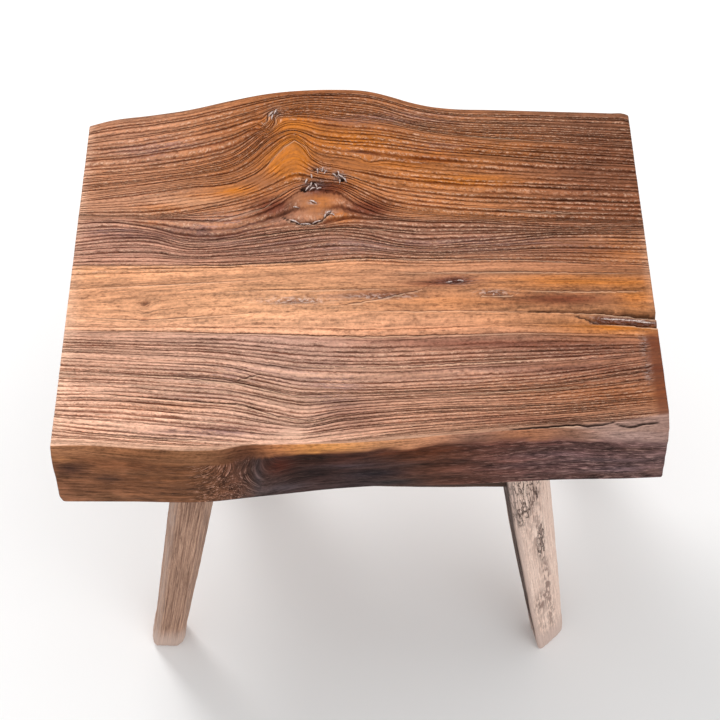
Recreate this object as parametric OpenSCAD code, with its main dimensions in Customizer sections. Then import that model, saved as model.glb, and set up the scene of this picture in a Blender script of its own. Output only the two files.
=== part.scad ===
// Milking stool: one thick live-edge board on four splayed, hewn legs.
// Each leg has a round tenon in a blind socket under the seat, spread by a hidden wedge.
// A rail under the front edge and one under the back edge are tenoned and pegged into the legs.
// Origin on the floor under the middle of the seat: +X right, +Y back, +Z up. Millimetres.

/* [Seat] */
// Width of the seat, along the grain
seat_w = 350; // [300:1:400]
// Depth of the seat where it is deepest
seat_d = 304; // [270:1:340]
// Thickness of the seat board
seat_t = 44; // [38:1:60]
// Height of the top of the seat above the floor
stool_h = 240; // [200:1:300]
// Drop of the worn bevel at the right-hand end of the front edge
wane = 7; // [3:1:10]

/* [Legs] */
// Width of a leg under the seat
leg_top_w = 30; // [28:1:34]
// Width of a leg at the floor
leg_foot_w = 20; // [16:1:26]
// Distance between the left and right legs, centre to centre, under the seat
leg_span_x = 187; // [150:1:220]
// Distance between the front and back legs, centre to centre, under the seat
leg_span_y = 166; // [140:1:190]
// Outward lean of every leg, sideways and also forwards or backwards, in degrees
splay = 9.6; // [4:0.1:14]

/* [Rails] */
// Height of a rail
rail_h = 51; // [36:1:56]
// Thickness of a rail
rail_t = 18; // [14:1:20]

/* [Joints] */
// Diameter of the round tenon on top of a leg
tenon_dia = 20; // [16:1:22]
// Length of the round tenon
tenon_len = 28; // [20:1:30]
// Diameter of a peg
peg_dia = 6; // [4:0.5:7]
// Gap left round every fitted piece
fit_gap = 0.1; // [0.05:0.05:0.3]

/* [Hidden] */

// Sides and rows: a leg is named by its side (left or right) and its row (front or back)
LEFT = -1;
RIGHT = 1;
FRONT = -1;
BACK = 1;

// The live edges, from left to right, as parts of half the width and half the depth
BACK_EDGE = [
    [-1, 0.77], [-0.92, 0.81], [-0.7, 0.855], [-0.42, 0.95], [-0.25, 0.99], [-0.1, 1],
    [0.04, 0.985], [0.15, 0.935], [0.3, 0.88], [0.6, 0.857], [0.95, 0.845], [1, 0.82]
];
FRONT_EDGE = [
    [-1, -0.965], [-0.85, -0.988], [-0.6, -1], [-0.5, -0.995], [-0.42, -0.975], [-0.3, -0.955],
    [0, -0.922], [0.4, -0.89], [0.75, -0.875], [1, -0.868]
];
edge_steps = 4;

// Leg sections, for a leg one unit wide, for a leg on the left at the front
HEWN = [
    [-0.5, -0.4], [-0.4, -0.5], [0.34, -0.5], [0.5, -0.34],
    [0.5, 0.42], [0.42, 0.5], [-0.42, 0.5], [-0.5, 0.42]
];
// A riven quarter: a flat inner face and one broad rounded face that looks outwards
RIVEN = [
    [0.38, -0.6], [0.46, -0.54], [0.5, 0.46], [0.42, 0.52],
    [-0.42, 0.52], [-0.52, 0.42], [-0.46, 0.14], [-0.26, -0.14], [0.06, -0.42]
];

seat_floor = stool_h - seat_t;
leg_shift_y = -4;
leg_run = seat_floor * tan(splay);
// Height of the short upright stretch at each end of a leg
stub = 2;

// The worn bevel's slope from level, and its turn from the seat's width
wane_slope = 33;
wane_turn = 9;

// The whole lean of a leg, sideways and lengthways together
lean = atan(tan(splay) * sqrt(2));
// How far the round tenon runs down into the leg, and the space left over it in its socket
tenon_root = 8;
socket_extra = 1;

wedge_len = 16;
wedge_top = 4;
wedge_tip = 1;
wedge_width = tenon_dia - 3;

// The rails: height of their middle, and how far they sit outwards from the legs' axes
rail_z = seat_floor - rail_h / 2;
rail_out = 3;
// How far into a leg the board is drawn before it is cut off at the leg, in leg widths
rail_shoulder = 0.2;

// The rail tenons: thickness, height, and reach past the leg's axis
rail_tenon_t = 8;
rail_tenon_h = rail_h - 20;
rail_tenon_in = 6;

// A peg starts just outside its leg's front or back face and crosses the rail's tenon
peg_proud = 0.8;
peg_len = 24;

seat_colour = [0.52, 0.33, 0.20];
hewn_colour = [0.48, 0.40, 0.34];
riven_colour = [0.72, 0.58, 0.50];
rail_colour = [0.36, 0.23, 0.16];
wedge_colour = [0.66, 0.50, 0.33];
peg_colour = [0.30, 0.20, 0.14];

// A smooth curve through points: the place at part t of the way from b to c
function between(a, b, c, d, t) =
    0.5 * (2 * b + (c - a) * t + (2 * a - 5 * b + 4 * c - d) * t * t + (3 * b - a - 3 * c + d) * t * t * t);

function smooth(points, steps) =
    let (last = len(points) - 1)
    [
        for (i = [0 : last - 1])
            for (s = [0 : steps - 1])
                between(points[max(i - 1, 0)], points[i], points[i + 1], points[min(i + 2, last)], s / steps),
        points[last]
    ];

function reversed(points) = [for (i = [len(points) - 1 : -1 : 0]) points[i]];

function to_seat(points) = [for (p = points) [p[0] * seat_w / 2, p[1] * seat_d / 2]];

// The centre of a leg and its width, at a height above the floor
function leg_x(side, z) = side * (leg_span_x / 2 + leg_run * (1 - z / seat_floor));
function leg_y(row, z) = leg_shift_y + row * (leg_span_y / 2 + leg_run * (1 - z / seat_floor));
function leg_w(z) = leg_foot_w + (leg_top_w - leg_foot_w) * z / seat_floor;

function rail_y(row) = leg_y(row, rail_z) + row * rail_out;
function rail_end(z) = leg_x(RIGHT, z) - leg_w(z) * (0.5 - rail_shoulder);

function turned(section, side, row, w) = [for (p = section) [-side * w * p[0], -row * w * p[1]]];

// The seat

module seat_board() {
    outline = concat(to_seat(smooth(BACK_EDGE, edge_steps)), reversed(to_seat(smooth(FRONT_EDGE, edge_steps))));
    translate([0, 0, seat_floor])
        linear_extrude(seat_t)
            polygon(outline);
}

// The worn bevel grows towards the right-hand end of the front edge
module wane_cut() {
    corner = to_seat(FRONT_EDGE)[len(FRONT_EDGE) - 1];
    translate([corner[0], corner[1], stool_h - wane])
        rotate([wane_slope, 0, wane_turn])
            translate([-seat_w, -seat_t, 0])
                cube([2 * seat_w, 2 * seat_t, seat_t]);
}

module seat() {
    color(seat_colour)
        difference() {
            seat_board();
            wane_cut();
            for (side = [LEFT, RIGHT])
                for (row = [FRONT, BACK])
                    on_leg_top(side, row)
                        translate([0, 0, -tenon_root])
                            cylinder(h = tenon_root + tenon_len + socket_extra, d = tenon_dia + 2 * fit_gap, $fn = 48);
        }
}

// The legs

// Puts what stands upright at the origin onto the top of a leg, along the leg's axis
module on_leg_top(side, row) {
    turn = atan2(row, side);
    translate([leg_x(side, seat_floor), leg_y(row, seat_floor), seat_floor])
        rotate([0, 0, turn])
            rotate([0, -lean, 0])
                rotate([0, 0, -turn])
                    children();
}

module leg_slice(side, row, section, z) {
    translate([leg_x(side, z), leg_y(row, z), z])
        linear_extrude(stub)
            polygon(turned(section, side, row, leg_w(z)));
}

module leg_blank(side, row, section) {
    hull() {
        leg_slice(side, row, section, 0);
        leg_slice(side, row, section, seat_floor - stub);
    }
}

// The wedge's side view, thick end up; grow widens it for the slot that holds it
module wedge_shape(side, row, width, grow) {
    on_leg_top(side, row)
        translate([0, width / 2, tenon_len])
            rotate([90, 0, 0])
                linear_extrude(width)
                    polygon([
                        [-wedge_top / 2 - grow, 0],
                        [-wedge_tip / 2 - grow, -wedge_len - grow],
                        [wedge_tip / 2 + grow, -wedge_len - grow],
                        [wedge_top / 2 + grow, 0]
                    ]);
}

module round_tenon(side, row) {
    on_leg_top(side, row)
        translate([0, 0, -tenon_root])
            cylinder(h = tenon_root + tenon_len, d = tenon_dia, $fn = 48);
}

module leg(side, row, section) {
    difference() {
        union() {
            leg_blank(side, row, section);
            round_tenon(side, row);
        }
        wedge_shape(side, row, tenon_dia + 2 * stub, fit_gap);
        rail_tenon(side, row, fit_gap);
        peg_shape(side, row, fit_gap);
    }
}

module leg_front_left() { color(hewn_colour) leg(LEFT, FRONT, HEWN); }
module leg_front_right() { color(riven_colour) leg(RIGHT, FRONT, RIVEN); }
module leg_back_left() { color(hewn_colour) leg(LEFT, BACK, HEWN); }
module leg_back_right() { color(hewn_colour) leg(RIGHT, BACK, HEWN); }

// The rails

module rail_tenon(side, row, grow) {
    inner = leg_x(side, rail_z) - side * leg_w(rail_z);
    outer = leg_x(side, rail_z) + side * (rail_tenon_in + grow);
    translate([
        min(inner, outer),
        rail_y(row) - rail_tenon_t / 2 - grow,
        rail_z - rail_tenon_h / 2 - grow
    ])
        cube([abs(outer - inner), rail_tenon_t + 2 * grow, rail_tenon_h + 2 * grow]);
}

// The board of a rail, with ends that lean as the legs do
module rail_board(row) {
    low = seat_floor - rail_h;
    translate([0, rail_y(row) + rail_t / 2, 0])
        rotate([90, 0, 0])
            linear_extrude(rail_t)
                polygon([
                    [-rail_end(low), low],
                    [rail_end(low), low],
                    [rail_end(seat_floor), seat_floor],
                    [-rail_end(seat_floor), seat_floor]
                ]);
}

module rail(row, left_section, right_section) {
    difference() {
        union() {
            difference() {
                rail_board(row);
                leg_blank(LEFT, row, left_section);
                leg_blank(RIGHT, row, right_section);
            }
            rail_tenon(LEFT, row, 0);
            rail_tenon(RIGHT, row, 0);
        }
        peg_shape(LEFT, row, fit_gap);
        peg_shape(RIGHT, row, fit_gap);
    }
}

module rail_front() { color(rail_colour) rail(FRONT, HEWN, RIVEN); }
module rail_back() { color(rail_colour) rail(BACK, HEWN, HEWN); }

// The wedges

module wedge(side, row) {
    color(wedge_colour)
        wedge_shape(side, row, wedge_width, 0);
}

module wedge_front_left() { wedge(LEFT, FRONT); }
module wedge_front_right() { wedge(RIGHT, FRONT); }
module wedge_back_left() { wedge(LEFT, BACK); }
module wedge_back_right() { wedge(RIGHT, BACK); }

// The pegs

module peg_shape(side, row, grow) {
    outside = leg_y(row, rail_z) + row * (leg_w(rail_z) / 2 + peg_proud);
    translate([leg_x(side, rail_z), outside, rail_z])
        rotate([row * 90, 0, 0])
            translate([0, 0, -grow])
                cylinder(h = peg_len + 2 * grow, d = peg_dia + 2 * grow, $fn = 32);
}

module peg(side, row) {
    color(peg_colour)
        peg_shape(side, row, 0);
}

module peg_front_left() { peg(LEFT, FRONT); }
module peg_front_right() { peg(RIGHT, FRONT); }
module peg_back_left() { peg(LEFT, BACK); }
module peg_back_right() { peg(RIGHT, BACK); }

seat();
leg_front_left();
leg_front_right();
leg_back_left();
leg_back_right();
rail_front();
rail_back();
wedge_front_left();
wedge_front_right();
wedge_back_left();
wedge_back_right();
peg_front_left();
peg_front_right();
peg_back_left();
peg_back_right();
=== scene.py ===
import math
from collections import namedtuple

import bpy
import numpy as np
from mathutils import Matrix, Vector


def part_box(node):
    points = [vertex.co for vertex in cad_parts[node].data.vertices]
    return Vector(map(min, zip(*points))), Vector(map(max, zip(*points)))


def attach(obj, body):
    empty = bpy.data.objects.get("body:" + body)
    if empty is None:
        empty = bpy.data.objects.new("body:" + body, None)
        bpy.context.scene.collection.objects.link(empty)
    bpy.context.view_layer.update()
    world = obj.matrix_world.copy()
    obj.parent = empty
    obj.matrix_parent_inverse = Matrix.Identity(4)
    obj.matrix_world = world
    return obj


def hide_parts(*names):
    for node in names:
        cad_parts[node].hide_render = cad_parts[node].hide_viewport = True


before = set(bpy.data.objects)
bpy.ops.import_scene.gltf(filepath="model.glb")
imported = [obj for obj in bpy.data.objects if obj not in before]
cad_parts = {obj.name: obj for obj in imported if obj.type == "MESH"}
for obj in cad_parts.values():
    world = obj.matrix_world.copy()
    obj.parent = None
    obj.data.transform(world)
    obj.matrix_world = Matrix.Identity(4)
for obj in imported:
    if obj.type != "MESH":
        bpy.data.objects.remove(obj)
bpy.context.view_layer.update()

# A milking stool: one live-edge board with raised grain on four hewn legs, with two pegged rails.
# Shapes are drawn in millimetres round the middle of the seat, and MM turns them into the frame's metres.

SEAT_LOW, SEAT_HIGH = (Vector(corner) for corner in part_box("seat"))
SEAT_DRAWN_WIDTH = 350.0
MM = (SEAT_HIGH.x - SEAT_LOW.x) / SEAT_DRAWN_WIDTH
SEAT_MIDDLE = (SEAT_LOW + SEAT_HIGH) / 2
HALF = SEAT_DRAWN_WIDTH / 2
THICK = (SEAT_HIGH.z - SEAT_LOW.z) / MM


# ---------------------------------------------------------------- numbers: noise, curves and spots

def hashed(i, j, seed):
    """A repeatable number from 0 to 1 for every whole place."""
    n = (i * 374761393 + j * 668265263 + seed * 144269504) & 0xFFFFFFFF
    n = ((n ^ (n >> 13)) * 1274126177) & 0xFFFFFFFF
    return ((n ^ (n >> 16)) & 0xFFFF) / 65535.0


def noise(x, y, seed=0):
    """Smooth noise from 0 to 1."""
    x, y = np.broadcast_arrays(np.asarray(x, float), np.asarray(y, float))
    i, j = np.floor(x).astype(np.int64), np.floor(y).astype(np.int64)
    u, v = x - i, y - j
    u, v = u * u * (3 - 2 * u), v * v * (3 - 2 * v)
    low = hashed(i, j, seed) * (1 - u) + hashed(i + 1, j, seed) * u
    high = hashed(i, j + 1, seed) * (1 - u) + hashed(i + 1, j + 1, seed) * u
    return low * (1 - v) + high * v


def rough(x, y, seed=0, octaves=3):
    """Noise with finer noise on it, from about -1 to 1."""
    total = sum((noise(x * 2**k, y * 2**k, seed + k) * 2 - 1) / 2**k for k in range(octaves))
    return total / (2 - 2 ** (1 - octaves))


def curve(points, x):
    """A smooth line through (place, value) points, read at x; values may be rows of numbers."""
    places = np.array([p[0] for p in points], float)
    values = np.array([p[1] for p in points], float)
    slopes = np.gradient(values, places, axis=0)
    x = np.asarray(x, float)
    i = np.clip(np.searchsorted(places, x, side="right") - 1, 0, len(places) - 2)
    step = places[i + 1] - places[i]
    t = np.clip((x - places[i]) / step, 0, 1)
    extra = (1,) * (values.ndim - 1)
    t, step = t.reshape(t.shape + extra), step.reshape(step.shape + extra)
    return (
        values[i] * (1 + 2 * t) * (1 - t) ** 2
        + slopes[i] * step * t * (1 - t) ** 2
        + values[i + 1] * t * t * (3 - 2 * t)
        + slopes[i + 1] * step * t * t * (t - 1)
    )


def ease(low, high, x):
    """0 below low, 1 above high, and a smooth step between."""
    t = np.clip((x - low) / (high - low), 0, 1)
    return t * t * (3 - 2 * t)


def spot(x, y, spots):
    """Soft oval patches, each (middle x, middle y, half length, half width, strength)."""
    total = np.zeros(np.broadcast(x, y).shape)
    for middle_x, middle_y, length, width, strength in spots:
        total += strength * np.exp(-(((x - middle_x) / length) ** 2) - ((y - middle_y) / width) ** 2)
    return total


def near_path(x, y, path):
    """The distance from a path of points, how far along it the nearest place is, and the side it is on."""
    best = np.full(np.broadcast(x, y).shape, 1e9)
    along, side = np.zeros_like(best), np.ones_like(best)
    path = np.array(path, float)
    lengths = np.hypot(*(path[1:] - path[:-1]).T)
    passed = np.concatenate([[0], np.cumsum(lengths)])
    for k, (a, b) in enumerate(zip(path[:-1], path[1:])):
        t = ((x - a[0]) * (b[0] - a[0]) + (y - a[1]) * (b[1] - a[1])) / lengths[k] ** 2
        t = np.clip(t, 0, 1)
        away = np.hypot(x - a[0] - t * (b[0] - a[0]), y - a[1] - t * (b[1] - a[1]))
        turned = (b[0] - a[0]) * (y - a[1]) - (b[1] - a[1]) * (x - a[0])
        closer = away < best
        best = np.where(closer, away, best)
        along = np.where(closer, (passed[k] + t * lengths[k]) / passed[-1], along)
        side = np.where(closer, np.where(turned < 0, -1, 1), side)
    return best, along, side


# ---------------------------------------------------------------- the seat's grain

# Lines that the grain follows over the top, from the front edge to the back edge, as (x, y) in mm.
# The first and last stand outside the live edges by the rounding of the arris.
GRAIN = [
    [(-175, -144), (-158, -146), (-120, -151), (-92, -152), (-78, -150.5), (-67, -147), (-50, -145.5),
     (-7, -143), (50, -137), (110, -132), (150, -130), (175, -127.5)],
    [(-175, -128), (-156, -131), (-99, -137), (-54, -140.5), (-36, -139), (0, -134), (50, -128),
     (112, -122), (175, -114)],
    [(-175, -108), (-141, -108), (-101, -112), (-72, -115), (-49, -121), (-35, -124), (-12, -119),
     (37, -114), (99, -111), (175, -104)],
    [(-175, -79), (-126, -82), (-79, -86), (-56, -92), (-35, -97), (-12, -98), (50, -96), (100, -92),
     (175, -79)],
    [(-175, -56), (-110, -57), (-65, -58), (0, -61), (99, -57), (175, -60)],
    [(-175, -46), (-127, -48), (-88, -44), (0, -41), (105, -41), (140, -41.5), (175, -45)],
    [(-175, -34), (-129, -30), (-100, -26), (-55, -24), (68, -21), (175, -23)],
    [(-175, -24), (-129, -20), (-66, -16), (0, -13), (45, -13), (175, -11)],
    [(-175, -5), (-84, -4), (-43, -2), (0, 2), (38, 0), (102, 1), (175, -2)],
    [(-175, 14), (-150, 18), (-129, 18), (-106, 11), (-73, 14), (-41, 20), (-19, 24), (0, 22), (24, 15),
     (73, 16), (125, 22), (175, 22)],
    [(-175, 30), (-150, 31), (-131, 27), (-107, 20), (-84, 20), (-63, 26), (-45, 29), (-22, 30), (-8, 34),
     (10, 34), (42, 32), (76, 31), (125, 28), (175, 28)],
    [(-175, 33), (-121, 34), (-97, 33), (-75, 34), (-60, 40), (-50, 47), (-40, 57), (-33, 61), (-25, 60),
     (-12, 56), (-4, 48), (8, 40), (16, 37), (30, 35.5), (54, 35), (98, 33), (175, 31)],
    [(-175, 37), (-121, 38), (-97, 43), (-74, 50), (-55, 59), (-40, 67), (-25, 66.5), (-8, 63), (4, 55),
     (16, 47), (30, 43), (54, 39), (98, 36), (175, 33)],
    [(-175, 50), (-142, 56), (-109, 63), (-76, 69), (-64, 78), (-56, 89), (-50, 98), (-43, 104),
     (-37, 99), (-32, 90), (-26, 84), (-14, 80), (12, 74), (55, 68), (100, 65), (175, 61)],
    [(-175, 61), (-133, 67), (-99, 74), (-78, 82), (-67, 93), (-60, 103), (-52, 110), (-44, 112.5),
     (-36, 110), (-27, 105.5), (-13, 103), (11, 101), (45, 95), (79, 91), (125, 86), (175, 82)],
    [(-175, 72), (-133, 77), (-99, 84), (-78, 94), (-67, 107), (-59, 119), (-47, 126), (-13, 124),
     (11, 121), (45, 112), (79, 106), (125, 103), (175, 99)],
    [(-175, 94), (-135, 100), (-100, 110), (-71, 122), (-55, 131), (-39, 136), (-13, 135.5), (11, 131),
     (33, 122), (58, 117), (123, 114), (175, 110)],
    [(-175, 117), (-162, 122), (-136, 127), (-111, 132.5), (-85, 141), (-60, 148), (-33, 151.5),
     (-19, 152), (7, 150), (20, 145.5), (33, 140), (46, 136), (59, 134), (85, 133), (111, 132),
     (163, 130), (172, 129.6), (175, 128)],
]
# Between two lines: growth rings, mesh rows in a ring, depth of the brushed grooves in mm, and the darkness
# of their lines (painted shade in the grooves, with darker ring lines)
LANES = [
    (6, 4, 0.7, 0.7), (8, 4, 1.0, 0.9), (11, 4, 1.1, 1), (11, 4, 1.0, 0.9),
    (4, 7, 0.12, 0.1), (4, 4, 0.12, 0.15), (3, 4, 0.12, 0.1), (5, 4, 0.15, 0.12),
    (8, 4, 1.1, 1), (5, 4, 1.0, 1), (2, 7, 0.5, 0.5), (5, 4, 0.7, 0.9), (7, 7, 0.7, 0.8), (6, 4, 0.8, 0.9),
    (6, 4, 0.8, 0.9), (6, 4, 0.7, 0.9), (8, 4, 0.8, 0.9),
]
ROW_PHASES = {4: (0, 0.15, 0.5, 0.85), 7: (0, 0.1, 0.25, 0.42, 0.58, 0.75, 0.9)}
# How much the widths of the rings differ, and the width of a ring on the live edges and the underside, in mm
RING_UNEVENNESS = 0.8
RING_WIDTH = 2.6
# Curls in the grain beside the knots: (x, y, half length, half width, how many rings they turn through)
CURLS = [(-60, 117, 6, 8, 2.6), (-53, 127, 5, 5, -2.2), (57, -17, 12, 3, 0.8), (79, -26, 10, 2.5, -0.7),
         (-128, -40, 4, 5, 0.8), (6, 84, 6, 4, 1.2)]

# Patches of the top, each (x, y, half length, half width, strength). Rubbed smooth:
SMOOTH = [
    (-105, 49, 16, 4, 1), (-82, 57, 14, 4.5, 1.1), (-62, 66, 10, 6, 1), (-46, 84, 12, 12, 1.2),
    (-43, 96, 6, 8, 1), (-27, 47, 13, 12, 1.2), (-4, 80, 16, 7, 0.8), (-44, 117, 14, 5, 0.7),
    (-160, 44, 18, 8, 0.4), (-20, 112, 20, 7, 0.5), (172, -92, 8, 34, 0.9), (-40, -130, 9, 5, 0.9),
]
# Rubbed down to the orange wood
ORANGE = [
    (172, -80, 7, 40, 0.25), (-45, 85, 10, 14, 1), (-122, 43, 16, 4, 0.55), (-100, 50, 16, 5, 0.85),
    (-78, 58, 14, 5, 1), (-46, 82, 14, 12, 1.3), (-43, 97, 8, 9, 1.2), (-44, 118, 20, 8, 0.9),
    (-26, 48, 10, 8, 0.7), (-12, 36, 12, 6, 0.7), (-5, 104, 30, 10, 0.9), (30, 84, 34, 9, 0.7),
    (62, 67, 36, 6, 0.9), (160, 8, 26, 10, 0.4), (130, -17, 50, 6, 0.7), (163, -30, 12, 12, 0.6),
    (60, -36, 60, 12, 0.35), (150, -54, 30, 5, 0.8), (70, 95, 60, 12, 0.4), (120, -100, 60, 8, 0.3),
    (130, -50, 50, 5, 0.4), (-12, 66, 14, 10, 0.4), (-130, 30, 12, 3, 0.5), (-110, -112, 30, 4, 0.3),
]
# Weathered grey
GREY = [
    (-110, 20, 50, 8, 0.6), (-128, 96, 30, 10, 0.9), (-155, 24, 14, 8, 1), (4, 96, 14, 5, 0.6),
    (50, 96, 24, 7, 0.6), (-84, 32, 30, 9, 1), (-20, 12, 60, 6, 0.9), (90, 14, 60, 7, 0.8),
    (20, 124, 40, 6, 0.9), (-16, -98, 16, 18, 1), (-30, -30, 45, 3, 0.5), (-75, -90, 40, 12, 0.8),
    (-85, -130, 36, 4, 1.2), (-100, -108, 26, 4, 0.7), (70, -90, 60, 12, 0.4), (130, -72, 40, 8, 0.4),
]
# Rubbed pale, mostly along the ends and over the front arris
PALE = [
    (-104, 49, 24, 5, 0.45), (-174, -90, 6, 60, 0.9), (-175, 60, 4, 80, 0.7), (-120, -148, 60, 5, 0.6),
    (174, 0, 2.5, 30, 0.4), (40, -134, 70, 2, 0.4), (-37, -133, 10, 5, 0.6), (40, -46, 60, 8, 0.2),
    (-100, -10, 60, 20, 0.1),
]
# Dark, as beside the knots
DARK = [
    (-110, 24, 56, 7, 0.15), (-90, 6, 60, 5, 0.15), (-25, 62, 12, 6, 0.9), (-12, 60, 10, 8, 0.6),
    (-54, 44, 13, 9, 1.2), (5, 43, 16, 9, 1.2), (-30, 56, 8, 4, 0.5), (172, -92, 7, 40, 0.2),
    (150, 95, 30, 30, 0.3), (120, -31, 34, 5, 1.1), (15, -27, 26, 3, 0.6), (57, -16, 14, 3.5, 1),
    (-66, 112, 8, 12, 0.4), (40, -19, 16, 3, 0.8), (130, 8, 40, 8, 0.5), (-128, -48, 2, 1.4, 0.9),
    (-129, -35, 1, 2, 0.7), (-80, -128, 30, 3, 0.5), (-5, -118, 18, 10, 0.5), (90, -66, 70, 5, 0.8),
    (30, -64, 50, 4, 0.3), (90, -121, 40, 3, 0.6), (120, -84, 50, 3, 0.5), (40, 86, 30, 5, 0.5),
    (-25, 146, 40, 4, 0.4), (-120, 20, 50, 4, 0.4),
]
# Torn, splintered places, pale and rough
TORN = [
    (165.5, -66, 2.2, 7, 0.8), (166, -86, 2.2, 9, 0.7), (-31, 62, 6, 4, 1), (-24, 65, 5, 3.5, 0.8),
    (-25, 77, 6, 2.6, 0.7), (-13, 71, 4, 4, 1), (-29.5, 48.5, 3, 1.2, 0.9), (-20, 39, 4, 2, 0.8),
    (-55, 129, 4, 4, 0.8), (57, -17, 9, 2.4, 1), (79, -26, 8, 1.8, 1), (-40, -33, 17, 2.2, 1),
    (12, -29, 18, 1.8, 1),
]
# Holes beside the knots, with their depth in mm in place of a strength
HOLES = [
    (-35.5, 60, 3, 2, 2.6), (-30, 66, 2.6, 1.4, 1.8), (-11.5, 69, 2.4, 2, 2.6), (-15, 74, 2, 1.4, 1.6),
    (-36, 70, 1, 2.6, 1), (-29, 77, 2, 1, 1.2), (-21, 59, 2, 1.2, 1.2), (-128, -48, 1.1, 0.8, 1.5),
    (-129, -35, 0.8, 1.2, 1), (55, -17, 2, 0.9, 0.8), (61, -16, 1.8, 0.9, 0.8),
]
# Cracks: the path, its half width and its depth in mm, and whether it opens towards its end
CRACKS = [
    ([(100, -41), (125, -41), (142, -41.7), (158, -43), (176, -45)], 1.0, 6.0, True),
    ([(145, -123.4), (150, -124.2), (155, -123.6), (159, -122.4), (163, -121.6),
     (169, -121)], 0.5, 1.2, False),
    ([(84, -128.6), (100, -126.9), (113, -125.4), (121, -124.6), (128, -125), (138, -123.6),
     (144, -122)], 0.6, 1.2, False),
    ([(128, -44.5), (134, -46.5), (139, -49.5), (156, -50.5), (176, -52.5)], 0.9, 5.0, True),
    ([(68, -26.5), (76, -28.5), (90, -28), (94, -26)], 0.6, 0.6, False),
    ([(-20, -38), (10, -31), (34, -24), (44, -19)], 0.6, 0.5, False),
    ([(0, -41), (60, -40), (100, -41)], 0.5, 0.4, False),
    ([(95, -24), (140, -24.5), (174, -24)], 0.6, 0.6, False),
    ([(20, -10), (100, -9), (174, -10)], 0.5, 0.5, False),
    ([(-174, -4), (-84, -4), (0, 2), (100, 1), (150, -3)], 0.6, 0.7, False),
    ([(-174, -56), (-65, -58), (0, -60), (99, -57), (150, -58)], 0.6, 0.7, False),
    ([(-49, 35.5), (-44, 33), (-35, 30), (-29, 31), (-24, 33.5), (-18, 40.5)], 0.7, 1.3, False),
    ([(-62, 74), (-57, 86), (-49, 98), (-42, 104), (-34, 98), (-31, 88)], 0.5, 0.35, False),
    ([(-64, 116), (-60, 122), (-60, 129), (-55, 133), (-50, 131)], 0.6, 0.5, False),
    ([(-58, 113), (-55, 119), (-56, 125), (-52, 129)], 0.5, 0.4, False),
    ([(-120, 33), (-90, 33), (-60, 44), (-46, 60)], 0.5, 0.4, False),
    ([(-110, 14), (-75, 18), (-40, 25), (-10, 28), (40, 24)], 0.7, 0.9, False),
    ([(-165, -101), (-110, -107), (-70, -110), (-48, -119), (-30, -122), (0, -116)], 0.7, 0.9, False),
    ([(-160, -88), (-110, -90), (-70, -95), (-40, -104), (-10, -106)], 0.6, 0.8, False),
    ([(-174, -129), (-120, -134), (-60, -138)], 0.6, 0.7, False),
    ([(-135, -118), (-95, -122), (-60, -126)], 0.6, 0.7, False),
    ([(-10, -84), (60, -80), (130, -75)], 0.6, 0.7, False),
    ([(30, -104), (90, -100), (160, -93)], 0.6, 0.7, False),
    ([(-74, -93.5), (-66, -91), (-58, -88.5)], 0.6, 0.8, False),
    ([(-172, -45.5), (-127, -48), (-88, -44.5), (-60, -42)], 0.5, 0.5, False),
    ([(-90, -26), (-55, -24), (20, -23)], 0.5, 0.4, False),
    ([(-172, -23.5), (-129, -20.5), (-60, -16)], 0.5, 0.4, False),
    ([(25, 117), (80, 107), (150, 101)], 0.5, 0.5, False),
    ([(60, 45), (110, 41), (165, 40)], 0.5, 0.5, False),
]

# Stretches of the seat with the space between their columns, in mm: finest at the knot, fine at the split end
COLUMN_STRETCHES = [(-HALF + 2, -66, 3.4), (-66, 0, 0.85), (0, 88, 3.3), (88, HALF - 2, 2.1)]
# Columns in each worn end, by their distance from the sawn face
END_COLUMNS = np.array([0, 0.15, 0.5, 1.1])


def seat_columns():
    """Places along the seat, closer together at the knot, at the split end and at both worn ends."""
    inner = [np.arange(start, stop - 0.01, step) for start, stop, step in COLUMN_STRETCHES]
    return np.concatenate([-HALF + END_COLUMNS, *inner, (HALF - END_COLUMNS)[::-1]])


def seat_rows():
    """For every row over the top: its lane, its place in the lane, and its ring number with a phase."""
    lane, part, phase = [], [], []
    ring = 0
    for k, (rings, rows, _, _) in enumerate(LANES):
        edges = np.arange(rings + 1) / rings
        edges[1:-1] += (hashed(np.arange(1, rings), k, 5) - 0.5) * RING_UNEVENNESS / rings
        for r in range(rings):
            for f in ROW_PHASES[rows]:
                lane.append(k)
                part.append(edges[r] + f * (edges[r + 1] - edges[r]))
                phase.append(ring + f)
            ring += 1
    lane.append(len(LANES) - 1)
    part.append(1.0)
    phase.append(float(ring))
    return np.array(lane), np.array(part), np.array(phase)


# Distance over which an edge is rounded, in mm: the front arris from left to right, the back arris, the arris
# round the underside, the sawn ends, and the lower front corner on the left
TOP_ROUND = [(-175, 1.8), (-160, 3), (-90, 4.5), (-50, 3.2), (0, 2.6), (110, 2.6), (175, 2)]
BACK_ROUND = 0.9
LOW_ROUND = 1.8
END_ROUND = 1.0
CORNER_ROUND = 5.5
# The bottom of the front live edge, from left to right
FRONT_FOOT = [
    (-175, -149), (-133, -149), (-87, -149), (-64, -146), (-41, -143), (-18, -140), (5, -138), (51, -137),
    (82, -135), (115, -133), (156, -132), (175, -131),
]
# Drop and width of the worn bevel at the right-hand end of the front edge
BEVEL_DROP = [(100, 0), (112, 0.6), (135, 3), (155, 4.8), (175, 6.4)]
BEVEL_WIDTH = [(100, 3), (112, 4), (135, 7), (155, 9), (175, 10.5)]
BEVEL_START = (98, 104)
# The border that is rubbed smooth, at the front of the right-hand end
BORDER_X = (166.5, 169)
BORDER_Y = (-54, -60)
# Rows of the mesh down a live edge and across the underside, and the angles at which an arris is drawn
FACE_ROWS = 19
BELOW_ROWS = 11
ARRIS_ANGLES = np.radians([15, 35, 55, 75])
UNDER_TONE = (150, 108, 80)
# The line across each end stops short of both live edges, anywhere within this part of the height
SPINE_REACH = 0.3
SPINE_SHORT = 1.5
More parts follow.
